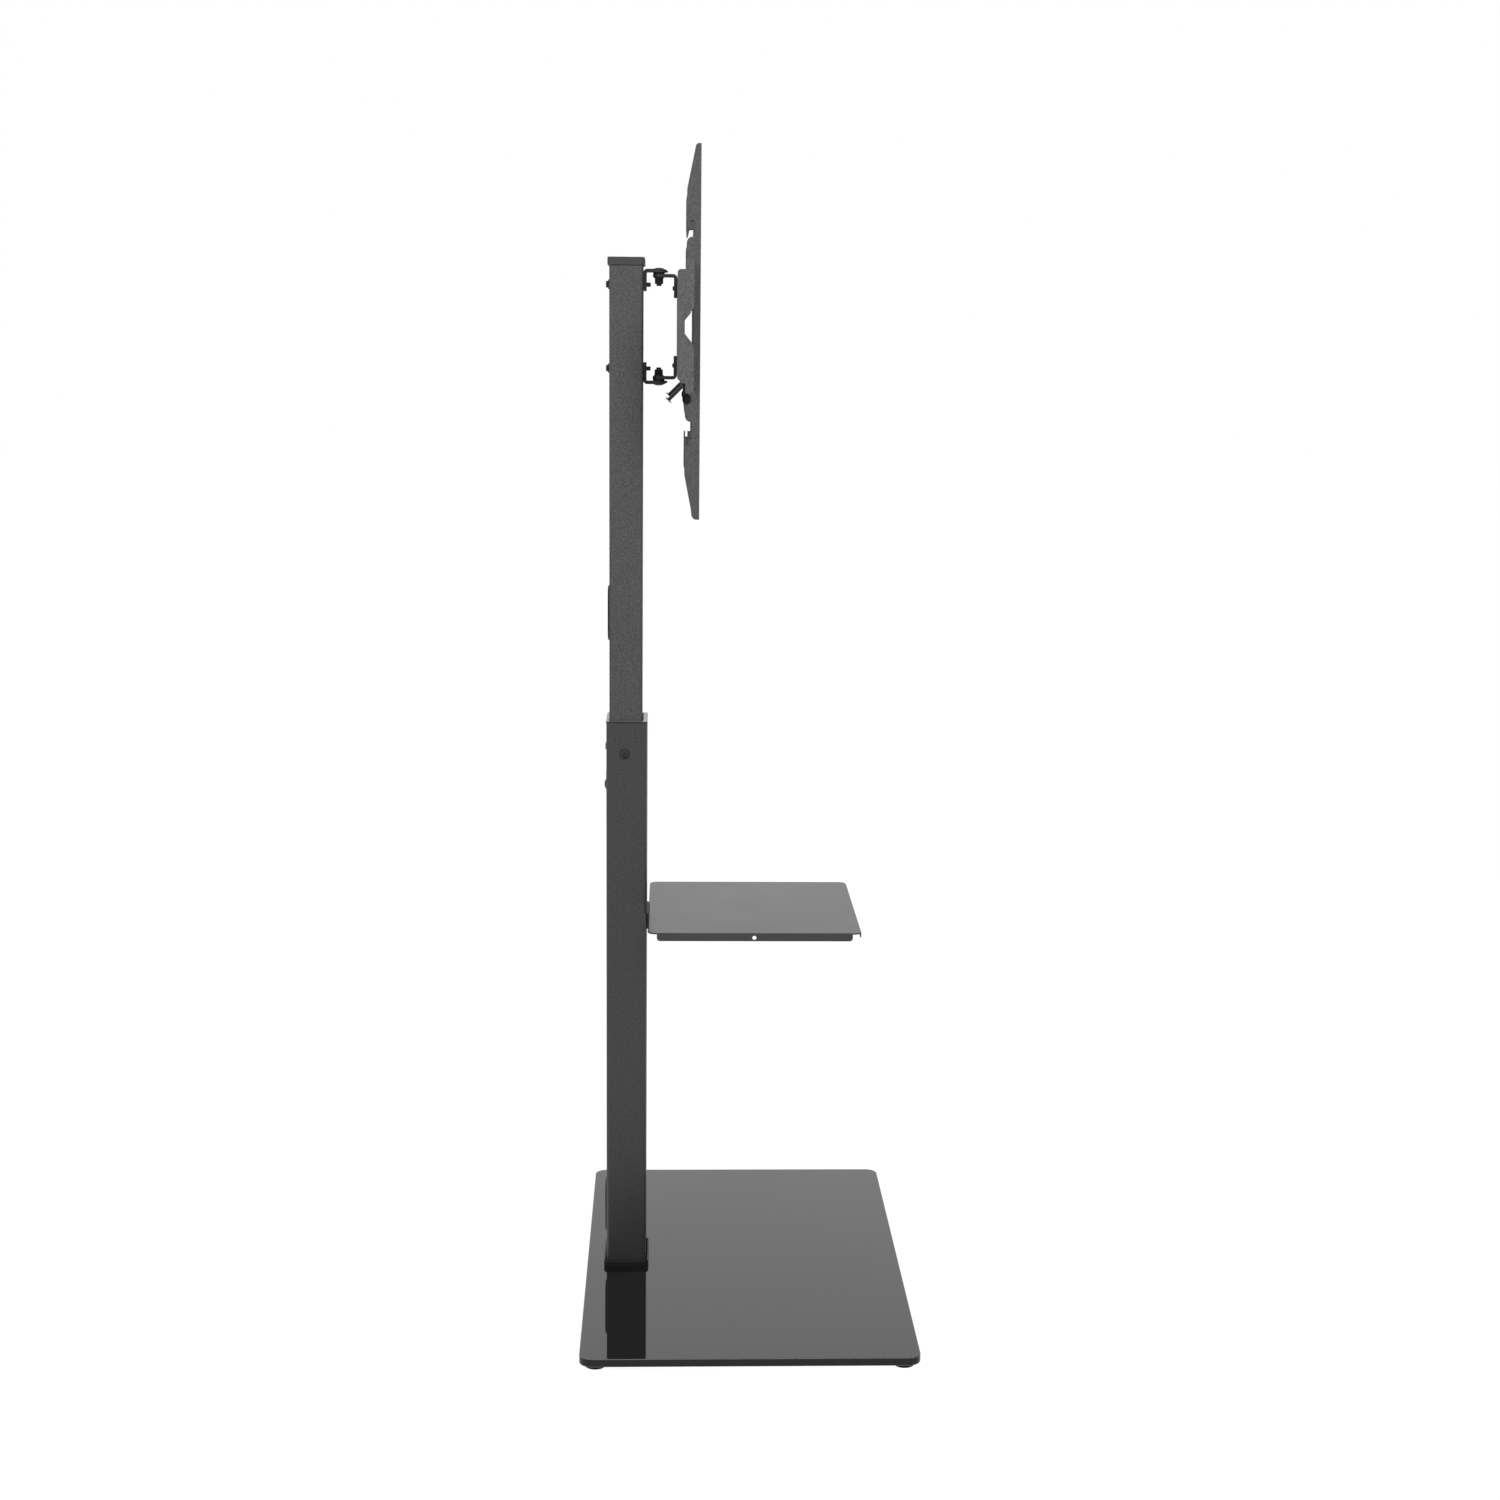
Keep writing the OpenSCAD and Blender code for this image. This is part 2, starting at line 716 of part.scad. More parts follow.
// Drills the two shelf bracket bolt holes with the given diameter.
module bracket_bolt_holes(d) {
    for (i = [-1, 1])
        translate([i * bracket_bolt_spacing / 2, column_front_y, bracket_bolt_z])
            rotate([90, 0, 0])
                cylinder(h = 2 * (lower_wall + nut_strip_thickness + cut), d = d, center = true);
}

module lower_column() {
    color(steel)
    difference() {
        translate([0, column_y, column_bottom_z])
            tube(lower_width, lower_depth, lower_corner, lower_wall, lower_length);
        translate([0, column_rear_y, lower_grommet_z])
            grommet_cutout(lower_grommet_length);
        clamp_holes();
        bracket_bolt_holes(bracket_bolt + 2 * screw_fit);
    }
}

module column_sleeve() {
    sleeve_x = lower_width - 2 * lower_wall - 2 * sleeve_fit;
    sleeve_y = lower_depth - 2 * lower_wall - 2 * sleeve_fit;
    bore_x = upper_width + 2 * sleeve_gap;
    bore_y = upper_depth + sleeve_gap + sleeve_front_gap;
    bore_centre_y = upper_y + (sleeve_gap - sleeve_front_gap) / 2;
    color(dark)
    difference() {
        union() {
            translate([0, column_y, lower_top_z - sleeve_length])
                linear_extrude(sleeve_length)
                    rounded_rect(sleeve_x, sleeve_y, lower_corner - lower_wall);
            translate([0, column_y, lower_top_z])
                linear_extrude(sleeve_flange)
                    rounded_rect(lower_width + 2 * sleeve_overhang,
                                 lower_depth + 2 * sleeve_overhang,
                                 lower_corner + sleeve_overhang);
        }
        translate([0, bore_centre_y, lower_top_z - sleeve_length - cut])
            linear_extrude(sleeve_length + sleeve_flange + 2 * cut)
                rounded_rect(bore_x, bore_y, upper_corner - 1);
        clamp_holes();
    }
}

module lower_grommet() {
    translate([0, column_rear_y, lower_grommet_z])
        grommet(lower_grommet_length, lower_wall);
}

// Domed screw head on Z 0: a short rim below a spherical crown with a hexagon recess.
module button_head(d, h) {
    crown = h * 0.75;
    ball = (d * d / 4 + crown * crown) / (2 * crown);
    difference() {
        rotate_extrude()
            intersection() {
                translate([0, h - ball])
                    circle(ball);
                square([d / 2, h]);
            }
        translate([0, 0, h * 0.4])
            linear_extrude(h)
                hexagon(d * 0.36);
    }
}

// Regular hexagon by its width across flats.
module hexagon(flats) {
    corner = flats / 2 / cos(30);
    polygon([for (a = [0:60:300]) [corner * cos(a), corner * sin(a)]]);
}

module rear_clamp_screws() {
    lift = [0, washer_plate_thickness];
    color(dark) {
        rear_clamp_shanks(rear_clamp_diameter);
        for (k = [0, 1])
            translate([0, column_rear_y, clamp_z - k * rear_clamp_spacing])
                rotate([-90, 0, 0]) {
                    cylinder(h = lift[k] + rear_clamp_head_height / 4, d = rear_clamp_diameter);
                    translate([0, 0, lift[k]])
                        button_head(rear_clamp_head, rear_clamp_head_height);
                }
    }
}

module washer_plate() {
    color(dark)
    translate([0, column_rear_y, clamp_z - rear_clamp_spacing])
        rotate([-90, 0, 0])
            linear_extrude(washer_plate_thickness)
                difference() {
                    translate([0, washer_plate_length / 2 - washer_plate_rise])
                        rounded_rect(washer_plate_width, washer_plate_length, 1.5);
                    circle(d = rear_clamp_diameter + 2 * screw_fit);
                }
}

module side_clamp_screws() {
    color(dark) {
        side_clamp_shanks(side_clamp_diameter);
        for (i = [-1, 1])
            translate([i * lower_width / 2, side_clamp_y, side_clamp_z])
                rotate([0, i * 90, 0])
                    button_head(side_clamp_head, side_clamp_head_height);
    }
}

module shelf_bracket() {
    front_y = column_front_y - bracket_length;
    color(steel)
    difference() {
        union() {
            translate([-bracket_width / 2, front_y, bracket_under_z])
                cube([bracket_width, bracket_length, bracket_sheet]);
            translate([-bracket_width / 2, column_front_y - bracket_sheet,
                       shelf_under_z - bracket_root])
                cube([bracket_width, bracket_sheet, bracket_root]);
            for (i = [-1, 1])
                translate([i * (bracket_width - bracket_sheet) / 2, 0, 0])
                    along_x(bracket_sheet)
                        polygon([[front_y, shelf_under_z], [column_front_y, shelf_under_z],
                                 [column_front_y, shelf_under_z - bracket_root],
                                 [column_front_y - bracket_root, shelf_under_z - bracket_root],
                                 [front_y, shelf_under_z - bracket_tip]]);
        }
        bracket_bolt_holes(bracket_bolt + 2 * screw_fit);
        for (i = [-1, 1], j = [-1, 1])
            translate([i * stud_spacing_x / 2, stud_y + j * stud_spacing_y / 2,
                       bracket_under_z - cut])
                cylinder(h = bracket_sheet + 2 * cut, d = stud_diameter + 2 * screw_fit);
    }
}

module shelf_bracket_bolts() {
    head_y = column_front_y - bracket_sheet;
    color(zinc)
    for (i = [-1, 1])
        translate([i * bracket_bolt_spacing / 2, head_y, bracket_bolt_z]) {
            rotate([90, 0, 0])
                button_head(bracket_bolt_head, bracket_bolt_head_height);
            rotate([-90, 0, 0])
                cylinder(h = bracket_sheet + lower_wall + nut_strip_thickness,
                         d = bracket_bolt);
        }
}

module nut_strip() {
    color(zinc)
    difference() {
        translate([-nut_strip_width / 2, column_front_y + lower_wall,
                   bracket_bolt_z - nut_strip_height / 2])
            cube([nut_strip_width, nut_strip_thickness, nut_strip_height]);
        bracket_bolt_holes(bracket_bolt + 2 * screw_fit);
    }
}

module shelf() {
    skirt_length = shelf_depth - 2 * (shelf_corner + 1);
    lip_length = shelf_width - 2 * (shelf_corner + 1);
    stud_length = bracket_sheet + nut_height + stud_past;
    color(steel) {
        translate([0, shelf_y, shelf_under_z])
            linear_extrude(shelf_sheet)
                rounded_rect(shelf_width, shelf_depth, shelf_corner);
        difference() {
            for (i = [-1, 1])
                translate([i * (shelf_width - shelf_sheet) / 2, 0, 0])
                    along_x(shelf_sheet)
                        translate([shelf_y, shelf_top_z - skirt_height])
                            skirt_outline(skirt_length, skirt_height - shelf_sheet / 2);
            translate([0, shelf_front_y + skirt_hole_inset,
                       shelf_under_z - (skirt_height - shelf_sheet) / 2])
                rotate([0, 90, 0])
                    cylinder(h = shelf_width + 2 * cut, d = skirt_hole, center = true);
        }
        translate([-lip_length / 2, shelf_front_y, shelf_top_z - lip_height])
            cube([lip_length, shelf_sheet, lip_height - shelf_sheet / 2]);
        for (i = [-1, 1], j = [-1, 1])
            translate([i * stud_spacing_x / 2, stud_y + j * stud_spacing_y / 2,
                       shelf_under_z - stud_length])
                cylinder(h = stud_length + shelf_sheet / 2, d = stud_diameter);
    }
}

// Skirt outline on the X axis with two rounded lower corners.
module skirt_outline(length, height) {
    translate([-length / 2, skirt_rounding])
        square([length, height - skirt_rounding]);
    translate([-length / 2 + skirt_rounding, 0])
        square([length - 2 * skirt_rounding, height]);
    for (i = [-1, 1])
        translate([i * (length / 2 - skirt_rounding), skirt_rounding])
            circle(skirt_rounding);
}

module shelf_nuts() {
    color(zinc)
    for (i = [-1, 1], j = [-1, 1])
        translate([i * stud_spacing_x / 2, stud_y + j * stud_spacing_y / 2,
                   bracket_under_z - nut_height])
            linear_extrude(nut_height)
                difference() {
                    hexagon(nut_flats);
                    circle(d = stud_diameter + 2 * screw_fit);
                }
}

// Drills a through bolt hole along Y through the upper tube at the upper bolt height.
module through_bolt_hole(d) {
    translate([0, upper_y, through_bolt_z])
        rotate([90, 0, 0])
            cylinder(h = upper_depth + 2 * cut, d = d, center = true);
}

module upper_column() {
    color(steel)
    difference() {
        translate([0, upper_y, upper_bottom_z])
            tube(upper_width, upper_depth, upper_corner, upper_wall,
                 upper_top_z - upper_bottom_z);
        translate([0, upper_rear_y, upper_grommet_z])
            grommet_cutout(upper_grommet_length);
        through_bolt_hole(through_bolt + 2 * screw_fit);
        below_head()
            through_bolt_hole(through_bolt + 2 * screw_fit);
    }
}

module top_cap() {
    grow = 2 * (cap_fit + cap_wall);
    color(dark)
    translate([0, upper_y, upper_top_z + cap_wall - cap_height])
        difference() {
            soft_prism(upper_width + grow, upper_depth + grow, upper_corner + grow / 2,
                       cap_height, cap_rounding);
            translate([0, 0, -cut])
                linear_extrude(cap_height - cap_wall + cut)
                    rounded_rect(upper_width + 2 * cap_fit, upper_depth + 2 * cap_fit,
                                 upper_corner + cap_fit);
        }
}

module column_glide() {
    plug_x = upper_width - 2 * upper_wall - 2 * glide_fit;
    plug_y = upper_depth - 2 * upper_wall - 2 * glide_fit;
    foot_x = lower_width - 2 * lower_wall - 2 * glide_gap;
    foot_y = lower_depth - 2 * lower_wall - 2 * glide_gap;
    recess_x = nut_strip_width + 2 * glide_recess_gap;
    recess_y = column_front_y + lower_wall + nut_strip_thickness + glide_recess_gap;
    color(dark)
    difference() {
        union() {
            translate([0, upper_y, upper_bottom_z - cut / 2])
                linear_extrude(glide_height - glide_flange + cut / 2)
                    rounded_rect(plug_x, plug_y, 1);
            translate([0, column_y, upper_bottom_z - glide_flange])
                linear_extrude(glide_flange)
                    rounded_rect(foot_x, foot_y, 1.2);
        }
        translate([0, upper_y, upper_bottom_z - glide_flange - cut])
            linear_extrude(glide_height + 2 * cut)
                rounded_rect(plug_x - 2 * glide_wall, plug_y - 2 * glide_wall, 2);
        translate([-recess_x / 2, column_front_y, upper_bottom_z - glide_flange - cut])
            cube([recess_x, recess_y - column_front_y, glide_flange + 2 * cut]);
    }
}

module upper_grommet() {
    translate([0, upper_rear_y, upper_grommet_z])
        grommet(upper_grommet_length, upper_wall);
}

// Angle with its outer corner at the origin: flat leg along -Y or +Y, tall leg down.
module angle_profile(flat, tall) {
    translate([-flat, -plate_thickness])
        square([flat - bend_radius, plate_thickness]);
    translate([-plate_thickness, -tall])
        square([plate_thickness, tall - bend_radius]);
    translate([-bend_radius, -bend_radius])
        difference() {
            intersection() {
                circle(bend_radius);
                square(bend_radius);
            }
            circle(bend_radius - plate_thickness);
        }
}

// Strip seen from above: a half disc about the pivot joined to a leg end at the given Y.
module strip_outline(width, end_y) {
    low = min(end_y, pivot_y);
    translate([0, pivot_y])
        circle(d = width);
    translate([-width / 2, low])
        square([width, abs(end_y - pivot_y)]);
}

// Column bracket at the top of the head.
module column_bracket() {
    nose_y = pivot_y - strip_width / 2;
    color(steel)
    difference() {
        intersection() {
            translate([0, 0, bracket_top_z - column_leg])
                linear_extrude(column_leg)
                    strip_outline(strip_width, upper_front_y);
            along_x(strip_width + 2)
                translate([upper_front_y, bracket_top_z])
                    angle_profile(pivot_reach + strip_width, column_leg);
        }
        along_x(strip_width + 2)
            polygon([[nose_y - cut, bracket_top_z - nose_drop],
                     [nose_y, bracket_top_z - nose_drop],
                     [nose_y + nose_run, bracket_top_z],
                     [nose_y + nose_run, bracket_top_z + cut],
                     [nose_y - cut, bracket_top_z + cut]]);
        translate([0, pivot_y, bracket_inner_z - cut])
            cylinder(h = plate_thickness + 2 * cut, d = pivot_bolt + 2 * screw_fit);
        translate([0, upper_front_y, through_bolt_z])
            rotate([90, 0, 0])
                cylinder(h = 3 * plate_thickness, d = through_bolt + 2 * screw_fit,
                         center = true);
    }
}

module upper_column_bracket() {
    column_bracket();
}

module lower_column_bracket() {
    below_head()
        column_bracket();
}

// Bolt along -Y from the column rear, through the tube and a bracket.
module through_bolt_one() {
    length = upper_depth + through_washer + plate_thickness + through_past;
    translate([0, upper_rear_y + through_washer, through_bolt_z]) {
        rotate([-90, 0, 0])
            difference() {
                soft_disc(through_head, through_head_height, 1);
                translate([0, 0, through_head_height - 1.6])
                    cross_recess(through_head * 0.5, 2);
            }
        rotate([90, 0, 0])
            cylinder(h = length, d = through_bolt);
    }
}

// Disc on Z 0 with a rounded top edge.
module soft_disc(d, h, e) {
    rotate_extrude()
        intersection() {
            soft_profile(d, h, e);
            square([d, h + cut]);
        }
}

// Cross-shaped recess.
module cross_recess(width, h) {
    for (a = [0, 90])
        rotate([0, 0, a])
            translate([-width / 2, -0.55, 0])
                cube([width, 1.1, h]);
}

module through_bolts() {
    color(zinc) {
        through_bolt_one();
        below_head()
            through_bolt_one();
    }
}

module through_bolt_washers() {
    color(zinc)
    for (z = [through_bolt_z, 2 * head_z - through_bolt_z])
        translate([0, upper_rear_y, z])
            rotate([-90, 0, 0])
                ring(through_washer_diameter, through_bolt + 2 * screw_fit, through_washer);
}

// Flat ring on Z 0.
module ring(outer, inner, h) {
    difference() {
        cylinder(h = h, d = outer);
        translate([0, 0, -cut])
            cylinder(h = h + 2 * cut, d = inner);
    }
}

module pivot_bolt_one() {
    length = bracket_top_z - pivot_nut_bottom_z + pivot_bolt_past;
    translate([0, pivot_y, bracket_top_z])
        button_head(pivot_head, pivot_head_height);
    translate([0, pivot_y, bracket_top_z - length])
        cylinder(h = length, d = pivot_bolt);
}

module pivot_bolts() {
    color(dark) {
        pivot_bolt_one();
        below_head()
            pivot_bolt_one();
    }
}

module friction_washers() {
    color(dark)
    for (z = [head_top_z, 2 * head_z - bracket_inner_z])
        translate([0, pivot_y, z])
            ring(friction_washer_diameter, pivot_bolt + 2 * screw_fit, friction_washer);
}

module pivot_washers() {
    color(zinc)
    for (z = [pivot_nut_top_z, 2 * head_z - head_inner_z])
        translate([0, pivot_y, z])
            ring(pivot_washer_diameter, pivot_bolt + 2 * screw_fit, pivot_washer);
}

module pivot_nut_one() {
    difference() {
        intersection() {
            translate([0, pivot_y, pivot_nut_bottom_z])
                linear_extrude(pivot_nut_height)
                    hexagon(pivot_nut_flats);
            translate([0, pivot_y, pivot_nut_top_z])
                mirror([0, 0, 1])
                    soft_disc(pivot_nut_flats / cos(30) + 0.2, pivot_nut_height, 1.6);
        }
        translate([0, pivot_y, pivot_nut_bottom_z - cut])
            cylinder(h = pivot_nut_height + 2 * cut, d = pivot_bolt + 2 * screw_fit);
    }
}

module pivot_nuts() {
    color(dark) {
        pivot_nut_one();
        below_head()
            pivot_nut_one();
    }
}

// Head bracket at the top of the head.
module head_bracket() {
    color(steel)
    difference() {
        intersection() {
            translate([0, 0, head_top_z - head_leg])
                linear_extrude(head_leg)
                    strip_outline(head_strip_width, pan_rear_y);
            along_x(head_strip_width + 2)
                translate([pan_rear_y, head_top_z])
                    mirror([1, 0])
                        angle_profile(plate_reach + head_strip_width, head_leg);
        }
        translate([0, pivot_y, head_inner_z - cut])
            cylinder(h = plate_thickness + 2 * cut, d = pivot_bolt + 2 * pivot_gap);
        translate([0, pan_rear_y, plate_screw_z])
            rotate([90, 0, 0])
                cylinder(h = 3 * plate_thickness, d = plate_screw + 2 * screw_fit,
                         center = true);
    }
}

module upper_head_bracket() {
    head_bracket();
}

module lower_head_bracket() {
    below_head()
        head_bracket();
}

module plate_screw_one() {
    pan_front_y = pan_rear_y - plate_sheet;
    length = plate_sheet + plate_thickness + plate_screw_past;
    translate([0, pan_front_y, plate_screw_z]) {
        rotate([90, 0, 0])
            button_head(plate_screw * 1.9, plate_screw * 0.55);
        rotate([-90, 0, 0])
            cylinder(h = length, d = plate_screw);
    }
}

module head_plate_screws() {
    color(zinc) {
        plate_screw_one();
        below_head()
            plate_screw_one();
    }
}

// Sheet section of the head plate in Y and Z.
module pan_section() {
    s = plate_sheet;
    y0 = pan_rear_y;
    c = pan_chamfer;
    polygon([[rail_front_y, rail_top_z], [rail_rear_y, rail_top_z], [rail_rear_y, pan_top_z],
             [y0 - 2, pan_top_z], [y0, pan_top_z - 2], [y0, pan_bottom_z + c],
             [y0 - c, pan_bottom_z], [rail_rear_y, pan_bottom_z],
             [rail_rear_y, rail_bottom_z], [rail_front_y, rail_bottom_z],
             [rail_front_y, pan_bottom_z + s], [y0 - c - s * tan(22.5), pan_bottom_z + s],
             [y0 - s, pan_bottom_z + c + s * tan(22.5)],
             [y0 - s, pan_top_z - s - 1], [y0 - s - 1, pan_top_z - s],
             [rail_front_y, pan_top_z - s]]);
}

// End flange of the head plate in Y and Z.
module flange_outline() {
    e = flange_rounding;
    y0 = pan_rear_y;
    f = flange_front_y;
    r = flange_rear_y;
    difference() {
        union() {
            polygon([[f, rail_bottom_z], [r - e, rail_bottom_z], [r, rail_bottom_z + e],
                     [r, pan_bottom_z], [y0 - pan_chamfer, pan_bottom_z],
                     [y0, pan_bottom_z + pan_chamfer], [y0, pan_top_z - 2],
                     [y0 - 2, pan_top_z], [r, pan_top_z], [r, rail_top_z - e],
                     [r - e, rail_top_z], [f, rail_top_z]]);
            for (z = [rail_bottom_z + e, rail_top_z - e])
                translate([r - e, z])
                    circle(e);
        }
        polygon([[f - cut, pan_mid_z - window_tall / 2], [f, pan_mid_z - window_tall / 2],
                 [f + window_depth, pan_mid_z - window_short / 2],
                 [f + window_depth, pan_mid_z + window_short / 2],
                 [f, pan_mid_z + window_tall / 2], [f - cut, pan_mid_z + window_tall / 2]]);
    }
}

module head_plate() {
    color(grey)
    difference() {
        union() {
            along_x(plate_width)
                pan_section();
            for (i = [-1, 1])
                translate([i * (plate_width - plate_sheet) / 2, 0, 0])
                    along_x(plate_sheet)
                        flange_outline();
        }
        for (z = [plate_screw_z, 2 * head_z - plate_screw_z])
            translate([0, pan_rear_y, z])
                rotate([90, 0, 0])
                    cylinder(h = 3 * plate_sheet, d = plate_screw + 2 * screw_fit,
                             center = true);
    }
}

// Side web of an arm in Y and Z: spare hooks, seats on the two rails, tapered ends.
module web_outline() {
    f = arm_front_y;
    end_rounding = 6.2;
    top_rounding = 4;
    tip_rounding = 0.85;
    shoulder = 6.5;
    shoulder_z = seat_top_z + 22.1;
    lug = 6.5;
    lug_y = f + 17.2;
    lug_z = seat_bottom_z - 15.4;
    foot_z = lug_z - lug;
    spare_y = f + 9.3;
    polygon([[f, arm_top_z - 1.5], [f + 1, arm_top_z], [f + 2.6, arm_top_z],
             [f + 6.5, arm_top_z - 3.2], [f + 15.9, arm_top_z - 49.2],
             [f + 15.9, arm_top_z - 84], [f + 15.3, arm_top_z - 93.6],
             [f + 13.7, arm_top_z - 94], [f + 12.5, arm_top_z - 89.1],
             [f + 12, arm_top_z - 86.5], [f + 11.2, arm_top_z - 85.1],
             [f + 7.2, arm_top_z - 85.1], [f + 7.2, shoulder_z + shoulder],
             [finger_rear_y - shoulder, shoulder_z + shoulder], [finger_rear_y, shoulder_z],
             [finger_rear_y, finger_low_z], [finger_front_y, finger_low_z],
             [finger_front_y, seat_top_z], [slot_front_y, seat_top_z],
             [slot_front_y, pan_top_z + 4], [arm_rear_y, pan_top_z + 1],
             [arm_rear_y, pan_bottom_z - 6], [slot_front_y, pan_bottom_z - 9],
             [slot_front_y, seat_bottom_z], [finger_front_y, seat_bottom_z],
             [finger_front_y, finger_high_z - 1], [finger_front_y + 1, finger_high_z],
             [finger_rear_y + 3.2, finger_high_z - 1], [finger_rear_y + 2.8, seat_bottom_z],
             [lug_y, lug_z], [lug_y - lug, foot_z], [spare_y, foot_z],
             [spare_y, foot_z - 19.6], [f + 12.8, foot_z - 19.6], [f + 12.8, foot_z - 26.4],
             [f + 15.8, foot_z - 26.4], [f + 15.8, foot_z - 19.1], [f + 17.5, foot_z - 19.1],
             [f + 17.5, arm_bottom_z + 51.1], [f + 9, arm_bottom_z + 7.4],
             [f + 3.1, arm_bottom_z], [f + 1.2, arm_bottom_z + 4], [f, arm_bottom_z + 20]]);
    translate([f + 2.6, arm_top_z - top_rounding])
        intersection() {
            circle(top_rounding);
            translate([-2.6, -top_rounding])
                square(2 * top_rounding);
        }
    translate([f + 14.48, arm_top_z - 93.75])
        circle(tip_rounding);
    translate([finger_rear_y - shoulder, shoulder_z])
        circle(shoulder);
    translate([lug_y - lug, lug_z])
        circle(lug);
    translate([f + 3.1, arm_bottom_z + end_rounding])
        intersection() {
            circle(end_rounding);
            translate([-1.8, -end_rounding])
                square(2 * end_rounding);
        }
}

// Front flange of an arm in X and Z, with round screen holes and upright slots.
module arm_face() {
    hole = 2 * screen_hole_radius;
    slot_z = (screen_hole_tall + screen_hole_short) / 4;
    pitch = (screen_hole_tall - screen_hole_short) / 2;
    slot_length = pitch - hole - 2 * screen_web;
    middle_length = screen_hole_short - hole - 2 * screen_web;
    difference() {
        translate([0, arm_mid_z])
            rounded_rect(arm_width, arm_length, 1.5);
        for (j = [-1, 1]) {
            translate([0, arm_mid_z + j * screen_hole_tall / 2])
                circle(screen_hole_radius);
            translate([0, arm_mid_z + j * screen_hole_short / 2])
                circle(screen_hole_radius);
            translate([0, arm_mid_z + j * slot_z])
                stadium(slot_length, hole);
        }
        translate([0, arm_mid_z])
            stadium(middle_length, hole);
    }
}

// Arm about X 0, with its safety tab on the -X side.
module arm_body() {
    tab_x = -arm_width / 2 - tab_length;
    color(grey) {
        translate([0, arm_front_y + arm_sheet, 0])
            rotate([90, 0, 0])
                linear_extrude(arm_sheet)
                    arm_face();
        for (i = [-1, 1])
            translate([i * web_x, 0, 0])
                along_x(arm_sheet)
                    web_outline();
        difference() {
            translate([tab_x, tab_centre_y, tab_centre_z])
                rotate([45, 0, 0])
                    translate([0, -tab_width / 2, -arm_sheet / 2])
                        cube([tab_length + arm_sheet, tab_width, arm_sheet]);
            safety_axis()
                cylinder(h = 8 * arm_sheet, d = safety_screw + 2 * screw_fit, center = true);
        }
    }
}

// Places children on the safety screw axis, +Z toward the head of the screw.
module safety_axis() {
    translate([-(arm_width + tab_length) / 2, tab_centre_y, tab_centre_z])
        rotate([-135, 0, 0])
            children();
}

module safety_screw_body() {
    color(zinc)
    safety_axis() {
        translate([0, 0, -tip_length])
            cylinder(h = tip_length + safety_length + safety_head_height / 2, d = safety_screw);
        translate([0, 0, safety_length])
            cylinder(h = safety_head_height, d = safety_head);
    }
}

// Clip with two oval cheeks astride the outer web, behind its lower hook.
module hook_clip_body() {
    clip_top_z = seat_bottom_z + 10.2;
    clip_width = arm_sheet + 2 * clip_cheek;
    front_y = slot_front_y + hook_gap;
    rear_y = finger_rear_y + 3.3;
    depth = rear_y - front_y + clip_back;
    color(dark)
    difference() {
        translate([(arm_sheet - arm_width) / 2, 0, 0])
            along_x(clip_width)
                translate([front_y + depth / 2, clip_top_z - clip_height / 2])
                    rounded_rect(depth, clip_height, depth / 2 - 0.2);
        translate([-arm_width / 2 - sleeve_fit, front_y - cut, clip_top_z - clip_height - cut])
            cube([arm_sheet + 2 * sleeve_fit, rear_y + sleeve_fit - front_y + cut,
                  clip_height + 2 * cut]);
    }
}

// Places children at the left arm, or mirrored at the right arm.
module at_arm(side) {
    mirror([side > 0 ? 1 : 0, 0, 0])
        translate([-arm_spacing / 2, 0, 0])
            children();
}

module left_arm() {
    at_arm(-1)
        arm_body();
}

module right_arm() {
    at_arm(1)
        arm_body();
}

module left_safety_screw() {
    at_arm(-1)
        safety_screw_body();
}

module right_safety_screw() {
    at_arm(1)
        safety_screw_body();
}

module left_hook_clip() {
    at_arm(-1)
        hook_clip_body();
}

module right_hook_clip() {
    at_arm(1)
        hook_clip_body();
}

glass_base();
rubber_feet();
clamp_pad();
clamp_plate();
base_bolts();
foot_gasket();
foot_plate();
foot_collar();
lower_column();
column_sleeve();
lower_grommet();
rear_clamp_screws();
washer_plate();
side_clamp_screws();
shelf_bracket();
shelf_bracket_bolts();
nut_strip();
shelf();
shelf_nuts();
upper_column();
top_cap();
column_glide();
upper_grommet();
upper_column_bracket();
lower_column_bracket();
through_bolts();
through_bolt_washers();
pivot_bolts();
friction_washers();
pivot_washers();
pivot_nuts();
upper_head_bracket();
lower_head_bracket();
head_plate_screws();
head_plate();
left_arm();
right_arm();
left_safety_screw();
right_safety_screw();
left_hook_clip();
right_hook_clip();
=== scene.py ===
# Floor stand for a flat screen: looks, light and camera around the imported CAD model.
import bpy
import bmesh
import json
import math
from mathutils import Matrix, Vector


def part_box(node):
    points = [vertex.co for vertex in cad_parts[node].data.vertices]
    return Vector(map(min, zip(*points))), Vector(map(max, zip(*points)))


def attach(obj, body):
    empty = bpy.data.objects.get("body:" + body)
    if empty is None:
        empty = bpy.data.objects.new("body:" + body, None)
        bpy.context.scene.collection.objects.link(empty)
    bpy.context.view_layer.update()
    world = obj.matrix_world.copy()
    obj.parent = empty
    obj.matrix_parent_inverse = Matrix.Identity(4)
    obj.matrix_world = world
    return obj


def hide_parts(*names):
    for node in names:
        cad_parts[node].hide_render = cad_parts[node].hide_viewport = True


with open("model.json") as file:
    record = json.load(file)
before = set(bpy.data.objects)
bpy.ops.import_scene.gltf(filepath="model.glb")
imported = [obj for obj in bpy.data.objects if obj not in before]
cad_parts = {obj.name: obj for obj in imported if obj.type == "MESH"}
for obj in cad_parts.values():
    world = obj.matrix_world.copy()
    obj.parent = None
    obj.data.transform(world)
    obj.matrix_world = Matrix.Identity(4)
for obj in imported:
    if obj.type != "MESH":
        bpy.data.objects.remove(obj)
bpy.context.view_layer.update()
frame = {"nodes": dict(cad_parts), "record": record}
scene = bpy.context.scene
print("stand: CAD frame loaded")


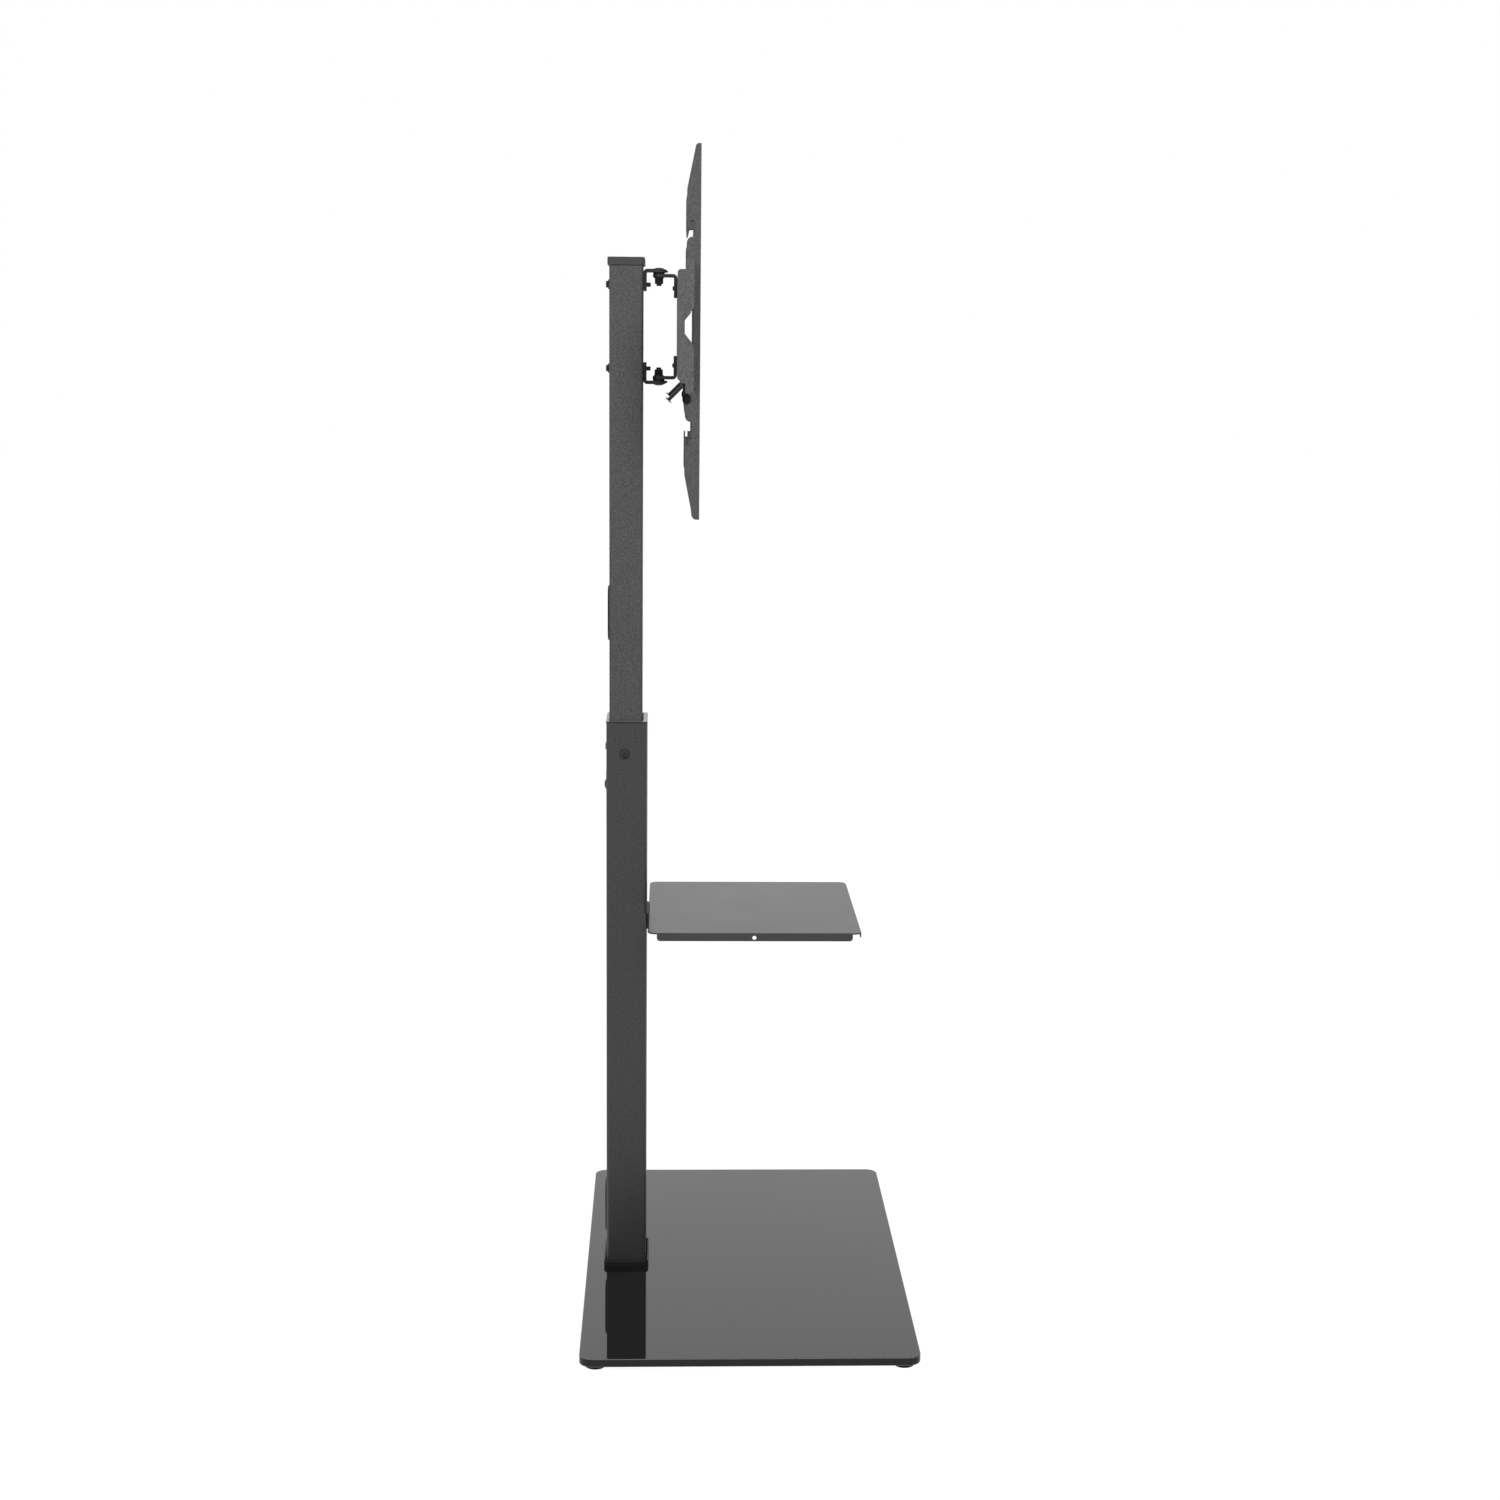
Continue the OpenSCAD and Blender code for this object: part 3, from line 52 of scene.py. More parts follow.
# camera
cameraSet = {
    "place": (-2.703, 0.096, 1.179),
    "pitch": 10.43,   # degrees below the horizon
    "yaw": -2.08,     # turned toward the rear
    "roll": 0.64,
    "lens": 53.11,
}


def addCamera(s):
    pitch, yaw, roll = (math.radians(s[k]) for k in ("pitch", "yaw", "roll"))
    ahead = Vector((math.cos(pitch) * math.cos(yaw), math.cos(pitch) * math.sin(yaw), -math.sin(pitch)))
    level = ahead.cross(Vector((0, 0, 1))).normalized()
    rise = level.cross(ahead)
    right = math.cos(roll) * level + math.sin(roll) * rise
    up = -math.sin(roll) * level + math.cos(roll) * rise
    cam = bpy.data.cameras.new("sideCamera")
    cam.lens = s["lens"]
    cam.sensor_width = 36
    cam.sensor_fit = "HORIZONTAL"
    cam.clip_end = 50
    obj = bpy.data.objects.new("sideCamera", cam)
    turn = Matrix((right, up, -ahead)).transposed().to_4x4()
    obj.matrix_world = Matrix.Translation(s["place"]) @ turn
    scene.collection.objects.link(obj)
    scene.camera = obj


addCamera(cameraSet)


# shader maths: a wrapped socket, so that node maths reads as plain expressions
class Value:
    def __init__(self, graph, socket):
        self.graph = graph
        self.socket = socket

    def maths(self, operation, *others):
        return self.graph.node("ShaderNodeMath", {"operation": operation}, [self, *others])

    def __add__(self, other):
        return self.maths("ADD", other)

    def __radd__(self, other):
        return self.maths("ADD", other)

    def __sub__(self, other):
        return self.maths("SUBTRACT", other)

    def __rsub__(self, other):
        return self.graph.lift(other).maths("SUBTRACT", self)

    def __mul__(self, other):
        return self.maths("MULTIPLY", other)

    def __rmul__(self, other):
        return self.maths("MULTIPLY", other)

    def most(self, other):
        return self.maths("MAXIMUM", other)

    def between(self, low, high):   # 0 below low, 1 above high, smooth between
        return self.graph.node("ShaderNodeMapRange", {"interpolation_type": "SMOOTHSTEP"},
                               {"Value": self, "From Min": low, "From Max": high})


class Graph:
    def __init__(self, material):
        material.use_nodes = True
        self.tree = material.node_tree
        self.tree.nodes.clear()

    def lift(self, number):
        lifted = self.tree.nodes.new("ShaderNodeValue")
        lifted.outputs[0].default_value = number
        return Value(self, lifted.outputs[0])

    # a node by type, its settings first, then the values or links of its sockets
    def node(self, kind, settings=None, inputs=None, output=0):
        made = self.tree.nodes.new(kind)
        for name, setting in (settings or {}).items():
            setattr(made, name, setting)
        pairs = inputs.items() if isinstance(inputs, dict) else enumerate(inputs or [])
        for key, given in pairs:
            socket = made.inputs[key]
            if isinstance(given, Value):
                self.tree.links.new(given.socket, socket)
            elif given is not None:
                socket.default_value = given
        return Value(self, made.outputs[output]) if len(made.outputs) else None

    def blend(self, share, first, second):   # colour mix
        made = self.tree.nodes.new("ShaderNodeMix")
        made.data_type = "RGBA"
        for key, given in ((0, share), (6, first), (7, second)):
            if isinstance(given, Value):
                self.tree.links.new(given.socket, made.inputs[key])
            else:
                made.inputs[key].default_value = (*given, 1) if isinstance(given, tuple) else given
        return Value(self, made.outputs[2])

    def noise(self, place, scale, detail=3, rough=0.5):
        return self.node("ShaderNodeTexNoise", {"noise_dimensions": "3D"},
                         {"Vector": place, "Scale": scale, "Detail": detail, "Roughness": rough})

    def surface(self, **sockets):
        shader = self.node("ShaderNodeBsdfPrincipled", None,
                           {key.replace("_", " "): given for key, given in sockets.items()})
        self.node("ShaderNodeOutputMaterial", None, {"Surface": shader})


def newMaterial(name):
    material = bpy.data.materials.new(name)
    return material, Graph(material)


def objectPlace(g, stretch=(1, 1, 1)):
    place = g.node("ShaderNodeTexCoord", None, None, output=3)
    return g.node("ShaderNodeMapping", None, {"Vector": place, "Scale": stretch})


def upward(g):   # 1 where the surface faces up, -1 where it faces down
    normal = g.node("ShaderNodeNewGeometry", None, None, output=1)
    return g.node("ShaderNodeSeparateXYZ", None, [normal], output=2)


# powder coats: tone is the linear colour, speckle the share of darker grains, gloss the sheen of the
# skin, grain the height of its texture in metres, and dust what a face that looks up gains
coats = {
    "blackCoat": {"tone": 0.024, "speckle": 1.0, "gloss": 0.62, "rough": 0.38,
                  "grain": 0.00014, "grainScale": 750, "dust": 0.010},
    "upperCoat": {"tone": 0.080, "speckle": 0.5, "gloss": 0.08, "rough": 0.46,
                  "grain": 0.00012, "grainScale": 750, "dust": 0.012},
    "shelfCoat": {"tone": 0.038, "speckle": 0.25, "gloss": 0.38, "rough": 0.25,
                  "grain": 0.00007, "grainScale": 1000, "dust": 0.012},
    "greyCoat": {"tone": 0.084, "speckle": 0.5, "gloss": 0.1, "rough": 0.50,
                 "grain": 0.00012, "grainScale": 750, "dust": 0.014},
    "plateCoat": {"tone": 0.096, "speckle": 0.5, "gloss": 0.1, "rough": 0.50,
                  "grain": 0.00012, "grainScale": 750, "dust": 0.014},
    "bracketCoat": {"tone": 0.032, "speckle": 0.4, "gloss": 0.2, "rough": 0.40,
                    "grain": 0.00008, "grainScale": 800, "dust": 0.008},
}
coatPattern = {
    "cloudScale": 9, "cloudShare": 0.9, "cloudRough": 0.14,
    "scuffStretch": (160, 160, 14), "scuffShare": 0.25, "scuffDark": 0.7, "scuffRough": 0.06,
    "speckleScale": 430, "speckleDark": 0.5,
    "peelShare": 0.55, "peelLight": 1.7, "peelBump": 0.8, "wornLight": 1.25, "lift": 0.004,
    "moteScale": 2600, "moteShare": 0.5, "dustRough": 0.2,
}


def powderCoat(name, s, p):   # orange peel, faint clouding, a breath of dust on what faces up
    material, g = newMaterial(name)
    place = objectPlace(g)
    peel = g.noise(place, s["grainScale"], 2, 0.6)
    cloud = g.noise(place, p["cloudScale"], 4, 0.6) - 0.5
    scuff = g.noise(objectPlace(g, p["scuffStretch"]), 1, 5, 0.7).between(0.64, 0.78)
    speckle = g.noise(place, p["speckleScale"], 2, 0.6).between(0.36, 0.64)
    mote = g.noise(place, p["moteScale"], 1, 0.5).between(0.62, 0.72)
    dust = upward(g).between(0.55, 1.0) * mote * p["moteShare"]
    base = s["tone"]
    tone, worn, scuffed, speckled, peeled, dusty = ((level,) * 3 for level in (
        base, p["wornLight"] * base + p["lift"], p["scuffDark"] * base, p["speckleDark"] * base,
        p["peelLight"] * base + p["lift"], base + s["dust"]))
    colour = g.blend(cloud * p["cloudShare"] + 0.35, tone, worn)
    colour = g.blend(scuff * p["scuffShare"], colour, scuffed)
    colour = g.blend(speckle * s["speckle"], colour, speckled)
    colour = g.blend(peel.between(0.52, 0.66) * p["peelShare"], colour, peeled)
    colour = g.blend(dust, colour, dusty)
    rough = cloud * p["cloudRough"] + scuff * p["scuffRough"] + dust * p["dustRough"] + s["rough"]
    bump = g.node("ShaderNodeBump", None,
                  {"Strength": p["peelBump"], "Distance": s["grain"], "Height": peel})
    g.surface(Base_Color=colour, Roughness=rough, Normal=bump, IOR=1.5, Specular_IOR_Level=s["gloss"])
    return material


# moulded plastics: the top tone is a painted highlight, the lighter colour given to a face that looks up
# in place of the bright sweep it mirrors
plastics = {
    "blackPlastic": {"gloss": 0.2, "tone": 0.013, "rough": 0.40, "grain": 0.00004, "topTone": 0.03},
    "capPlastic": {"gloss": 0.2, "tone": 0.050, "rough": 0.46, "grain": 0.00005, "topTone": 0.05},
    "slidePlastic": {"gloss": 0.3, "tone": 0.018, "rough": 0.16, "grain": 0.00002, "topTone": 0.24},
    "blackRubber": {"gloss": 0.1, "tone": 0.014, "rough": 0.72, "grain": 0.00008, "topTone": 0.02},
    "blackNylon": {"gloss": 0.12, "tone": 0.008, "rough": 0.34, "grain": 0.00003, "topTone": 0.012},
}
plasticPattern = {
    "pitScale": 2200, "pitRough": 0.12, "pitBump": 0.5,
    "flowStretch": (1, 1, 0.35), "flowScale": 60, "flowShare": 0.5, "flowLight": 1.35, "lift": 0.002,
    "polishScale": 24, "polishRough": -0.09, "topShare": 0.8,
}


def mouldedPlastic(name, s, p):   # spark-eroded mould texture with softly polished patches, and a painted highlight on faces that look up
    material, g = newMaterial(name)
    place = objectPlace(g)
    pits = g.noise(place, p["pitScale"], 3, 0.65)
    flow = g.noise(objectPlace(g, p["flowStretch"]), p["flowScale"], 3, 0.5)
    polish = g.noise(place, p["polishScale"], 3, 0.5).between(0.45, 0.7)
    tone, flowed, top = ((level,) * 3 for level in (
        s["tone"], p["flowLight"] * s["tone"] + p["lift"], s["topTone"]))
    # painted highlight: faces that look up turn lighter, mostly evenly and partly along the flow, standing
    # in for the sweep they mirror
    paintedTopHighlight = upward(g).between(0.7, 0.95) * (p["topShare"] + flow * (1 - p["topShare"]))
    colour = g.blend(flow * p["flowShare"], tone, flowed)
    colour = g.blend(paintedTopHighlight, colour, top)
    rough = polish * p["polishRough"] + (pits - 0.5) * p["pitRough"] + s["rough"]
    bump = g.node("ShaderNodeBump", None,
                  {"Strength": p["pitBump"], "Distance": s["grain"], "Height": pits})
    g.surface(Base_Color=colour, Roughness=rough, Normal=bump, IOR=1.48, Specular_IOR_Level=s["gloss"])
    return material


steels = {
    "zincSteel": {"gloss": 0.5, "tone": (0.42, 0.42, 0.44), "rough": 0.34, "metal": 1.0},
    "blackScrew": {"gloss": 0.5, "tone": (0.027, 0.027, 0.029), "rough": 0.36, "metal": 0.35},
    "greyScrew": {"gloss": 0.3, "tone": (0.032, 0.032, 0.033), "rough": 0.40, "metal": 0.2},
}
steelPattern = {
    "ringStretch": (400, 400, 3600), "ringRough": 0.1, "ringBump": 0.35, "ringHeight": 0.00002,
    "blotchScale": 180, "blotchShare": 0.4, "blotchDark": 0.75, "blotchRough": 0.16,
    "rubScale": 700, "rubShare": 0.35, "rubLight": 1.6, "rubLift": 0.02, "rubRough": 0.08,
}


def platedSteel(name, s, p):   # turned and plated: fine tool rings, brighter where a driver rubbed
    material, g = newMaterial(name)
    place = objectPlace(g)
    rings = g.noise(objectPlace(g, p["ringStretch"]), 1, 2, 0.5)
    blotch = g.noise(place, p["blotchScale"], 4, 0.65)
    rub = g.noise(place, p["rubScale"], 5, 0.7).between(0.6, 0.75)
    dull = tuple(p["blotchDark"] * t for t in s["tone"])
    bright = tuple(p["rubLight"] * t + p["rubLift"] for t in s["tone"])
    colour = g.blend(blotch * p["blotchShare"], s["tone"], dull)
    colour = g.blend(rub * p["rubShare"], colour, bright)
    rough = ((blotch - 0.5) * p["blotchRough"] + (rings - 0.5) * p["ringRough"]
             - rub * p["rubRough"] + s["rough"])
    bump = g.node("ShaderNodeBump", None,
                  {"Strength": p["ringBump"], "Distance": p["ringHeight"], "Height": rings})
    g.surface(Base_Color=colour, Roughness=rough, Metallic=s["metal"], Normal=bump,
              Specular_IOR_Level=s["gloss"])
    return material


# glass: its rim tone is a painted highlight laid along the arris
glassSet = {
    "tone": (0.014, 0.0142, 0.0145), "edgeTone": (0.013, 0.0148, 0.015), "rimTone": (0.20, 0.21, 0.21),
    "moteTone": (0.05, 0.05, 0.05), "gloss": 0.22, "coat": 0.52, "coatRough": 0.004, "ior": 1.52,
    "rough": 0.006, "edgeRough": 0.1,
}
glassPattern = {
    "wipeStretch": (1.2, 4.0, 1), "wipeScale": 3.2, "wipeRough": 0.012,
    "printScale": 42, "printRough": 0.014, "moteScale": 1900, "moteShare": 0.35, "moteRough": 0.2,
    "groundStretch": (900, 900, 60), "waveScale": 2.2, "waveBump": 0.06, "waveHeight": 0.0006,
}


def blackGlass(name, s, p):   # toughened and black right through, with wiped smears, a ground edge and a painted highlight along the arris
    material, g = newMaterial(name)
    place = objectPlace(g)
    wipe = g.noise(objectPlace(g, p["wipeStretch"]), p["wipeScale"], 4, 0.55).between(0.5, 0.8)
    prints = g.noise(place, p["printScale"], 5, 0.6).between(0.62, 0.8)
    mote = g.noise(place, p["moteScale"], 1, 0.5).between(0.74, 0.8)
    ground = g.noise(objectPlace(g, p["groundStretch"]), 1, 2, 0.5)
    wave = g.noise(place, p["waveScale"], 2, 0.5)
    flat = upward(g).maths("ABSOLUTE")
    side = 1 - flat.between(0.3, 0.8)
    paintedArrisHighlight = flat.between(0.2, 0.5) * (1 - flat.between(0.85, 0.98))   # painted highlight: the narrow arris is coloured light, standing in for the light it would catch
    colour = g.blend(mote * p["moteShare"], s["tone"], s["moteTone"])
    colour = g.blend(side, colour, s["edgeTone"])
    colour = g.blend(paintedArrisHighlight, colour, s["rimTone"])
    rough = (wipe * p["wipeRough"] + prints * p["printRough"] + mote * p["moteRough"]
             + side * (ground * s["edgeRough"] + s["edgeRough"]) + s["rough"])
    bump = g.node("ShaderNodeBump", None,
                  {"Strength": p["waveBump"], "Distance": p["waveHeight"], "Height": wave})
    g.surface(Base_Color=colour, Roughness=rough, Normal=bump, IOR=s["ior"], Specular_IOR_Level=s["gloss"],
              Coat_Weight=(1 - side) * s["coat"], Coat_Roughness=s["coatRough"], Coat_IOR=s["ior"])
    return material


finishes = {name: powderCoat(name, s, coatPattern) for name, s in coats.items()}
finishes.update({name: mouldedPlastic(name, s, plasticPattern) for name, s in plastics.items()})
finishes.update({name: platedSteel(name, s, steelPattern) for name, s in steels.items()})
finishes["blackGlass"] = blackGlass("blackGlass", glassSet, glassPattern)
print("stand: finishes made", len(finishes))


# which finish each CAD node wears, for those that stay and those that are copied
wears = {
    "blackGlass": ["glass_base"],
    "blackRubber": ["rubber_feet", "clamp_pad", "foot_gasket"],
    "zincSteel": ["clamp_plate", "base_bolts", "foot_plate", "nut_strip", "shelf_nuts"],
    "blackPlastic": ["foot_collar", "lower_grommet", "column_glide", "upper_grommet", "friction_washers"],
    "capPlastic": ["top_cap"],
    "slidePlastic": ["column_sleeve"],
    "blackNylon": ["left_hook_clip", "right_hook_clip"],
    "greyScrew": ["rear_clamp_screws", "washer_plate", "side_clamp_screws"],
    "blackScrew": ["shelf_bracket_bolts", "through_bolts", "through_bolt_washers", "pivot_bolts",
                   "pivot_washers", "pivot_nuts", "head_plate_screws", "left_safety_screw",
                   "right_safety_screw"],
    "blackCoat": ["lower_column"],
    "upperCoat": ["upper_column"],
    "bracketCoat": ["shelf_bracket", "upper_column_bracket", "lower_column_bracket",
                    "upper_head_bracket", "lower_head_bracket"],
    "shelfCoat": ["shelf"],
    "greyCoat": ["left_arm", "right_arm"],
    "plateCoat": ["head_plate"],
}
finishOf = {node: finishes[finish] for finish, nodes in wears.items() for node in nodes}
for node, obj in frame["nodes"].items():
    obj.data.materials.clear()
    obj.data.materials.append(finishOf[node])


# ways of working on a mesh: lengths in metres, angles in degrees
meshCare = {
    "weld": 0.000004,    # corners nearer than this are one
    "speck": 0.000002,   # edges shorter than this are dissolved
    "coplanar": 0.4,     # faces within this angle become one
    "corner": 0.5,       # in radians: an edge sharper than this can be picked for a bend
    "sharp": 38,         # edges sharper than this stay crisp
    "wide": 0.002,       # a flat face wider than this is shaded flat, so it lights evenly
}


def clearSelection():
    if bpy.context.object and bpy.context.object.mode != "OBJECT":
        bpy.ops.object.mode_set(mode="OBJECT")
    bpy.ops.object.select_all(action="DESELECT")


def makeActive(obj):
    clearSelection()
    obj.select_set(True)
    bpy.context.view_layer.objects.active = obj


def editOn(obj):
    makeActive(obj)
    bpy.ops.object.mode_set(mode="EDIT")
    bpy.ops.mesh.select_mode(type="EDGE")
    bpy.ops.mesh.select_all(action="DESELECT")


def editOff():
    bpy.ops.object.mode_set(mode="OBJECT")


def pickEdges(obj, test):   # selects the edges whose two ends pass the test
    mesh = bmesh.from_edit_mesh(obj.data)
    count = 0
    for edge in mesh.edges:
        sharp = len(edge.link_faces) == 2 and edge.calc_face_angle() > meshCare["corner"]
        edge.select = sharp and test(edge)
        count += edge.select
    mesh.select_flush_mode()
    bmesh.update_edit_mesh(obj.data)
    return count


def pickFaces(obj, test):
    bpy.ops.mesh.select_mode(type="FACE")
    mesh = bmesh.from_edit_mesh(obj.data)
    count = 0
    for face in mesh.faces:
        face.select = test(face)
        count += face.select
    mesh.select_flush_mode()
    bmesh.update_edit_mesh(obj.data)
    return count


def roundOff(obj, width, segments=2, angle=32):   # a live bevel, applied at once
    makeActive(obj)
    bevel = obj.modifiers.new("roundOff", "BEVEL")
    bevel.width = width
    bevel.segments = segments
    bevel.limit_method = "ANGLE"
    bevel.angle_limit = math.radians(angle)
    bevel.miter_outer = "MITER_SHARP"
    bevel.use_clamp_overlap = True
    bpy.ops.object.modifier_apply(modifier=bevel.name)


def smooth(obj, angle=meshCare["sharp"]):   # smooth shading over bends, flat shading on wide faces
    makeActive(obj)
    bpy.ops.object.shade_smooth_by_angle(angle=math.radians(angle))
    editOn(obj)
    bpy.ops.mesh.select_all(action="SELECT")
    bpy.ops.mesh.dissolve_degenerate(threshold=meshCare["speck"])
    bpy.ops.mesh.select_all(action="DESELECT")
    if pickFaces(obj, lambda f: 2 * f.calc_area() > meshCare["wide"] * f.calc_perimeter()):
        bpy.ops.mesh.faces_shade_flat()
    editOff()
    weigh = obj.modifiers.new("weigh", "WEIGHTED_NORMAL")
    weigh.mode = "FACE_AREA"
    weigh.weight = 80
    weigh.keep_sharp = True
    bpy.ops.object.modifier_apply(modifier=weigh.name)


def copyOf(node, name):   # a merged copy of a CAD node, ready to be softened
    source = frame["nodes"][node]
    obj = bpy.data.objects.new(name, source.data.copy())
    scene.collection.objects.link(obj)
    editOn(obj)
    bpy.ops.mesh.select_all(action="SELECT")
    bpy.ops.mesh.remove_doubles(threshold=meshCare["weld"])
    bpy.ops.mesh.dissolve_limited(angle_limit=math.radians(meshCare["coplanar"]))
    editOff()
    return obj


def settle(obj, node):   # gives a finished piece its material and body, and hides its CAD node
    obj.data.materials.clear()
    obj.data.materials.append(finishOf[node])
    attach(obj, bodyOf[node])
    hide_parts(node)
    return obj


bodyOf = {node: body for body, nodes in frame["record"]["behaviour"]["bodies"].items() for node in nodes}


# glass base: a slab with round corners and a polished arris along every edge
glassPlate = {"corner": 0.015, "cornerSteps": 20, "arris": 0.0009, "arrisSteps": 3, "sharp": 30}


def makeGlassBase(s):
    low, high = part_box("glass_base")
    middle, size = (low + high) / 2, high - low
    clearSelection()
    bpy.ops.mesh.primitive_cube_add(size=1, location=middle, scale=size)
    obj = bpy.context.object
    obj.name = "glassBase"
    bpy.ops.object.transform_apply(location=True, rotation=False, scale=True)
    editOn(obj)
    pickEdges(obj, lambda e: abs(e.verts[0].co.z - e.verts[1].co.z) > size.z / 2)
    bpy.ops.mesh.bevel(offset=s["corner"], segments=s["cornerSteps"], affect="EDGES")
    editOff()
    roundOff(obj, s["arris"], s["arrisSteps"], 40)
    smooth(obj, s["sharp"])
    return settle(obj, "glass_base")


# rubber feet: turned pads with a screw recess in the tread
feetSet = {"radius": 0.0125, "sides": 72, "tread": 0.00575, "recessDepth": 0.0022, "recessTaper": 0.8,
           "lip": 0.0005, "lipSteps": 3, "sharp": 35}


def makeFeet(s):
    low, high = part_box("rubber_feet")
    radius = s["radius"]
    parts = []
    for sideX in (-1, 1):
        for sideY in (-1, 1):
            centre = (sideX * (high.x - radius), sideY * (high.y - radius), (low.z + high.z) / 2)
            clearSelection()
            bpy.ops.mesh.primitive_cylinder_add(vertices=s["sides"], radius=radius,
                                                depth=high.z - low.z, location=centre)
            foot = bpy.context.object
            bpy.ops.object.transform_apply(location=True, rotation=False, scale=False)
            editOn(foot)
            pickFaces(foot, lambda f: f.normal.z < -0.9)
            bpy.ops.mesh.inset(thickness=s["tread"], depth=0)
            bpy.ops.mesh.extrude_region_move(TRANSFORM_OT_translate={"value": (0, 0, s["recessDepth"])})
            taper = s["recessTaper"]
            bpy.ops.transform.resize(value=(taper, taper, 1), center_override=centre)
            editOff()
            roundOff(foot, s["lip"], s["lipSteps"], 40)
            parts.append(foot)
    makeActive(parts[0])
    for part in parts:
        part.select_set(True)
    bpy.ops.object.join()
    obj = parts[0]
    obj.name = "rubberFeet"
    smooth(obj, s["sharp"])
    return settle(obj, "rubber_feet")


# pieces that keep the shape of their CAD node and get its real bends and broken edges
# bends: test of an edge, radius and steps; edge: the small round left by finishing
def near(value, target, slack=0.0002):
    return abs(value - target) < slack


def soften(node, name, edge, bends=()):
    obj = copyOf(node, name)
    for test, width, steps in bends:
        editOn(obj)
        found = pickEdges(obj, test)
        if found:
            bpy.ops.mesh.bevel(offset=width, segments=steps, affect="EDGES", clamp_overlap=True)
        print("   bend on", name, found)
        editOff()
    roundOff(obj, edge)
    smooth(obj)
    return settle(obj, node)


# screw threads: ridges on the free end of a shank, ring by ring
# reach: the threaded length; inset: from the side of the node's box to the screw's axis
threads = {
    "through_bolts": {"radius": 0.0025, "pitch": 0.0009, "reach": 0.0047, "inset": 0.004},
    "pivot_bolts": {"radius": 0.0030, "pitch": 0.0010, "reach": 0.0022, "nutHeight": 0.0067},
    "head_plate_screws": {"radius": 0.0025, "pitch": 0.0008, "reach": 0.0014, "inset": 0.00475},
    "left_safety_screw": {"radius": 0.0020, "pitch": 0.0008, "start": 0.0105, "end": 0.0015},
    "right_safety_screw": {"radius": 0.0020, "pitch": 0.0008, "start": 0.0105, "end": 0.0015},
}
threadSet = {
    "sides": 28,
    "crest": 0.00012,     # how far the ridges stand out from the shank
    "root": 0.9,          # the groove's radius as a share of the crest's
    "tip": 0.0001,        # left plain at the free end
    "slantHead": 3,       # how far a safety screw's head widens its box, in shank radii
}


def threadEnds(node, s):   # where the ridges start and end, for each screw of a node
    low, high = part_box(node)
    middle = (low + high) / 2
    tip = threadSet["tip"]
    if node == "through_bolts":
        return [((0, low.y + s["reach"], z), (0, low.y + tip, z))
                for z in (low.z + s["inset"], high.z - s["inset"])]
    if node == "head_plate_screws":
        return [((0, high.y - s["reach"], z), (0, high.y - tip, z))
                for z in (low.z + s["inset"], high.z - s["inset"])]
    if node == "pivot_bolts":
        nutLow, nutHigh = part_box("pivot_nuts")
        upper, lower = nutHigh.z - s["nutHeight"], nutLow.z + s["nutHeight"]
        return [((0, middle.y, upper), (0, middle.y, upper - s["reach"])),
                ((0, middle.y, lower), (0, middle.y, lower + s["reach"]))]
    slant = Vector((0, math.sqrt(0.5), -math.sqrt(0.5)))
    top = Vector((middle.x, low.y + s["radius"] * slant.y, high.z - s["radius"] * slant.y))
    length = (high.y - low.y) / slant.y - s["radius"] * threadSet["slantHead"]
    return [(top + slant * s["start"], top + slant * (length - s["end"]))]


def makeThread(start, end, radius, pitch):
    start, end = Vector(start), Vector(end)
    length = (end - start).length
    turns = max(2, round(length / pitch))
    clearSelection()
    bpy.ops.mesh.primitive_cylinder_add(vertices=threadSet["sides"], depth=length,
                                        radius=radius + threadSet["crest"])
    rod = bpy.context.object
    editOn(rod)
    mesh = bmesh.from_edit_mesh(rod.data)
    for edge in mesh.edges:   # the long edges, cut into rings
        edge.select = abs(edge.verts[0].co.z - edge.verts[1].co.z) > length / 2
    bmesh.update_edit_mesh(rod.data)
    bpy.ops.mesh.subdivide(number_cuts=2 * turns - 1)
    bpy.ops.mesh.select_mode(type="VERT")
    bpy.ops.mesh.select_all(action="DESELECT")
    mesh = bmesh.from_edit_mesh(rod.data)
    for vert in mesh.verts:   # every other ring becomes a groove
        vert.select = round((vert.co.z / length + 0.5) * 2 * turns) % 2 == 0
    mesh.select_flush_mode()
    bmesh.update_edit_mesh(rod.data)
    bpy.ops.transform.resize(value=(threadSet["root"], threadSet["root"], 1), center_override=(0, 0, 0))
    editOff()
    rod.rotation_euler = (end - start).to_track_quat("Z", "Y").to_euler()
    rod.location = (start + end) / 2
    makeActive(rod)
    bpy.ops.object.transform_apply(location=True, rotation=True, scale=True)
    return rod


def addThreads(obj, node):
    rods = [makeThread(start, end, threads[node]["radius"], threads[node]["pitch"])
            for start, end in threadEnds(node, threads[node])]
    makeActive(obj)
    for rod in rods:
        rod.select_set(True)
    bpy.ops.object.join()
    obj.data.materials.clear()
    obj.data.materials.append(finishOf[node])


# the round along every edge of each small piece
edgeWidths = {
    "foot_collar": 0.0004, "lower_column": 0.0004, "upper_column": 0.0004, "column_sleeve": 0.0005,
    "lower_grommet": 0.0006, "upper_grommet": 0.0006, "top_cap": 0.0004, "column_glide": 0.0005,
    "rear_clamp_screws": 0.00025, "side_clamp_screws": 0.0003, "washer_plate": 0.0002,
    "shelf_bracket": 0.0003, "shelf_bracket_bolts": 0.00025, "shelf_nuts": 0.0003,
    "upper_column_bracket": 0.0005, "lower_column_bracket": 0.0005,
    "upper_head_bracket": 0.0005, "lower_head_bracket": 0.0005,
    "through_bolts": 0.0003, "through_bolt_washers": 0.0002, "pivot_bolts": 0.00025,
    "friction_washers": 0.0002, "pivot_washers": 0.0002, "pivot_nuts": 0.00025,
    "head_plate_screws": 0.0002, "left_safety_screw": 0.0002, "right_safety_screw": 0.0002,
    "left_hook_clip": 0.0004, "right_hook_clip": 0.0004,
}


def pieceName(node):   # upper_head_bracket gives upperHeadBracket
    first, *rest = node.split("_")
    return first + "".join(word.capitalize() for word in rest)


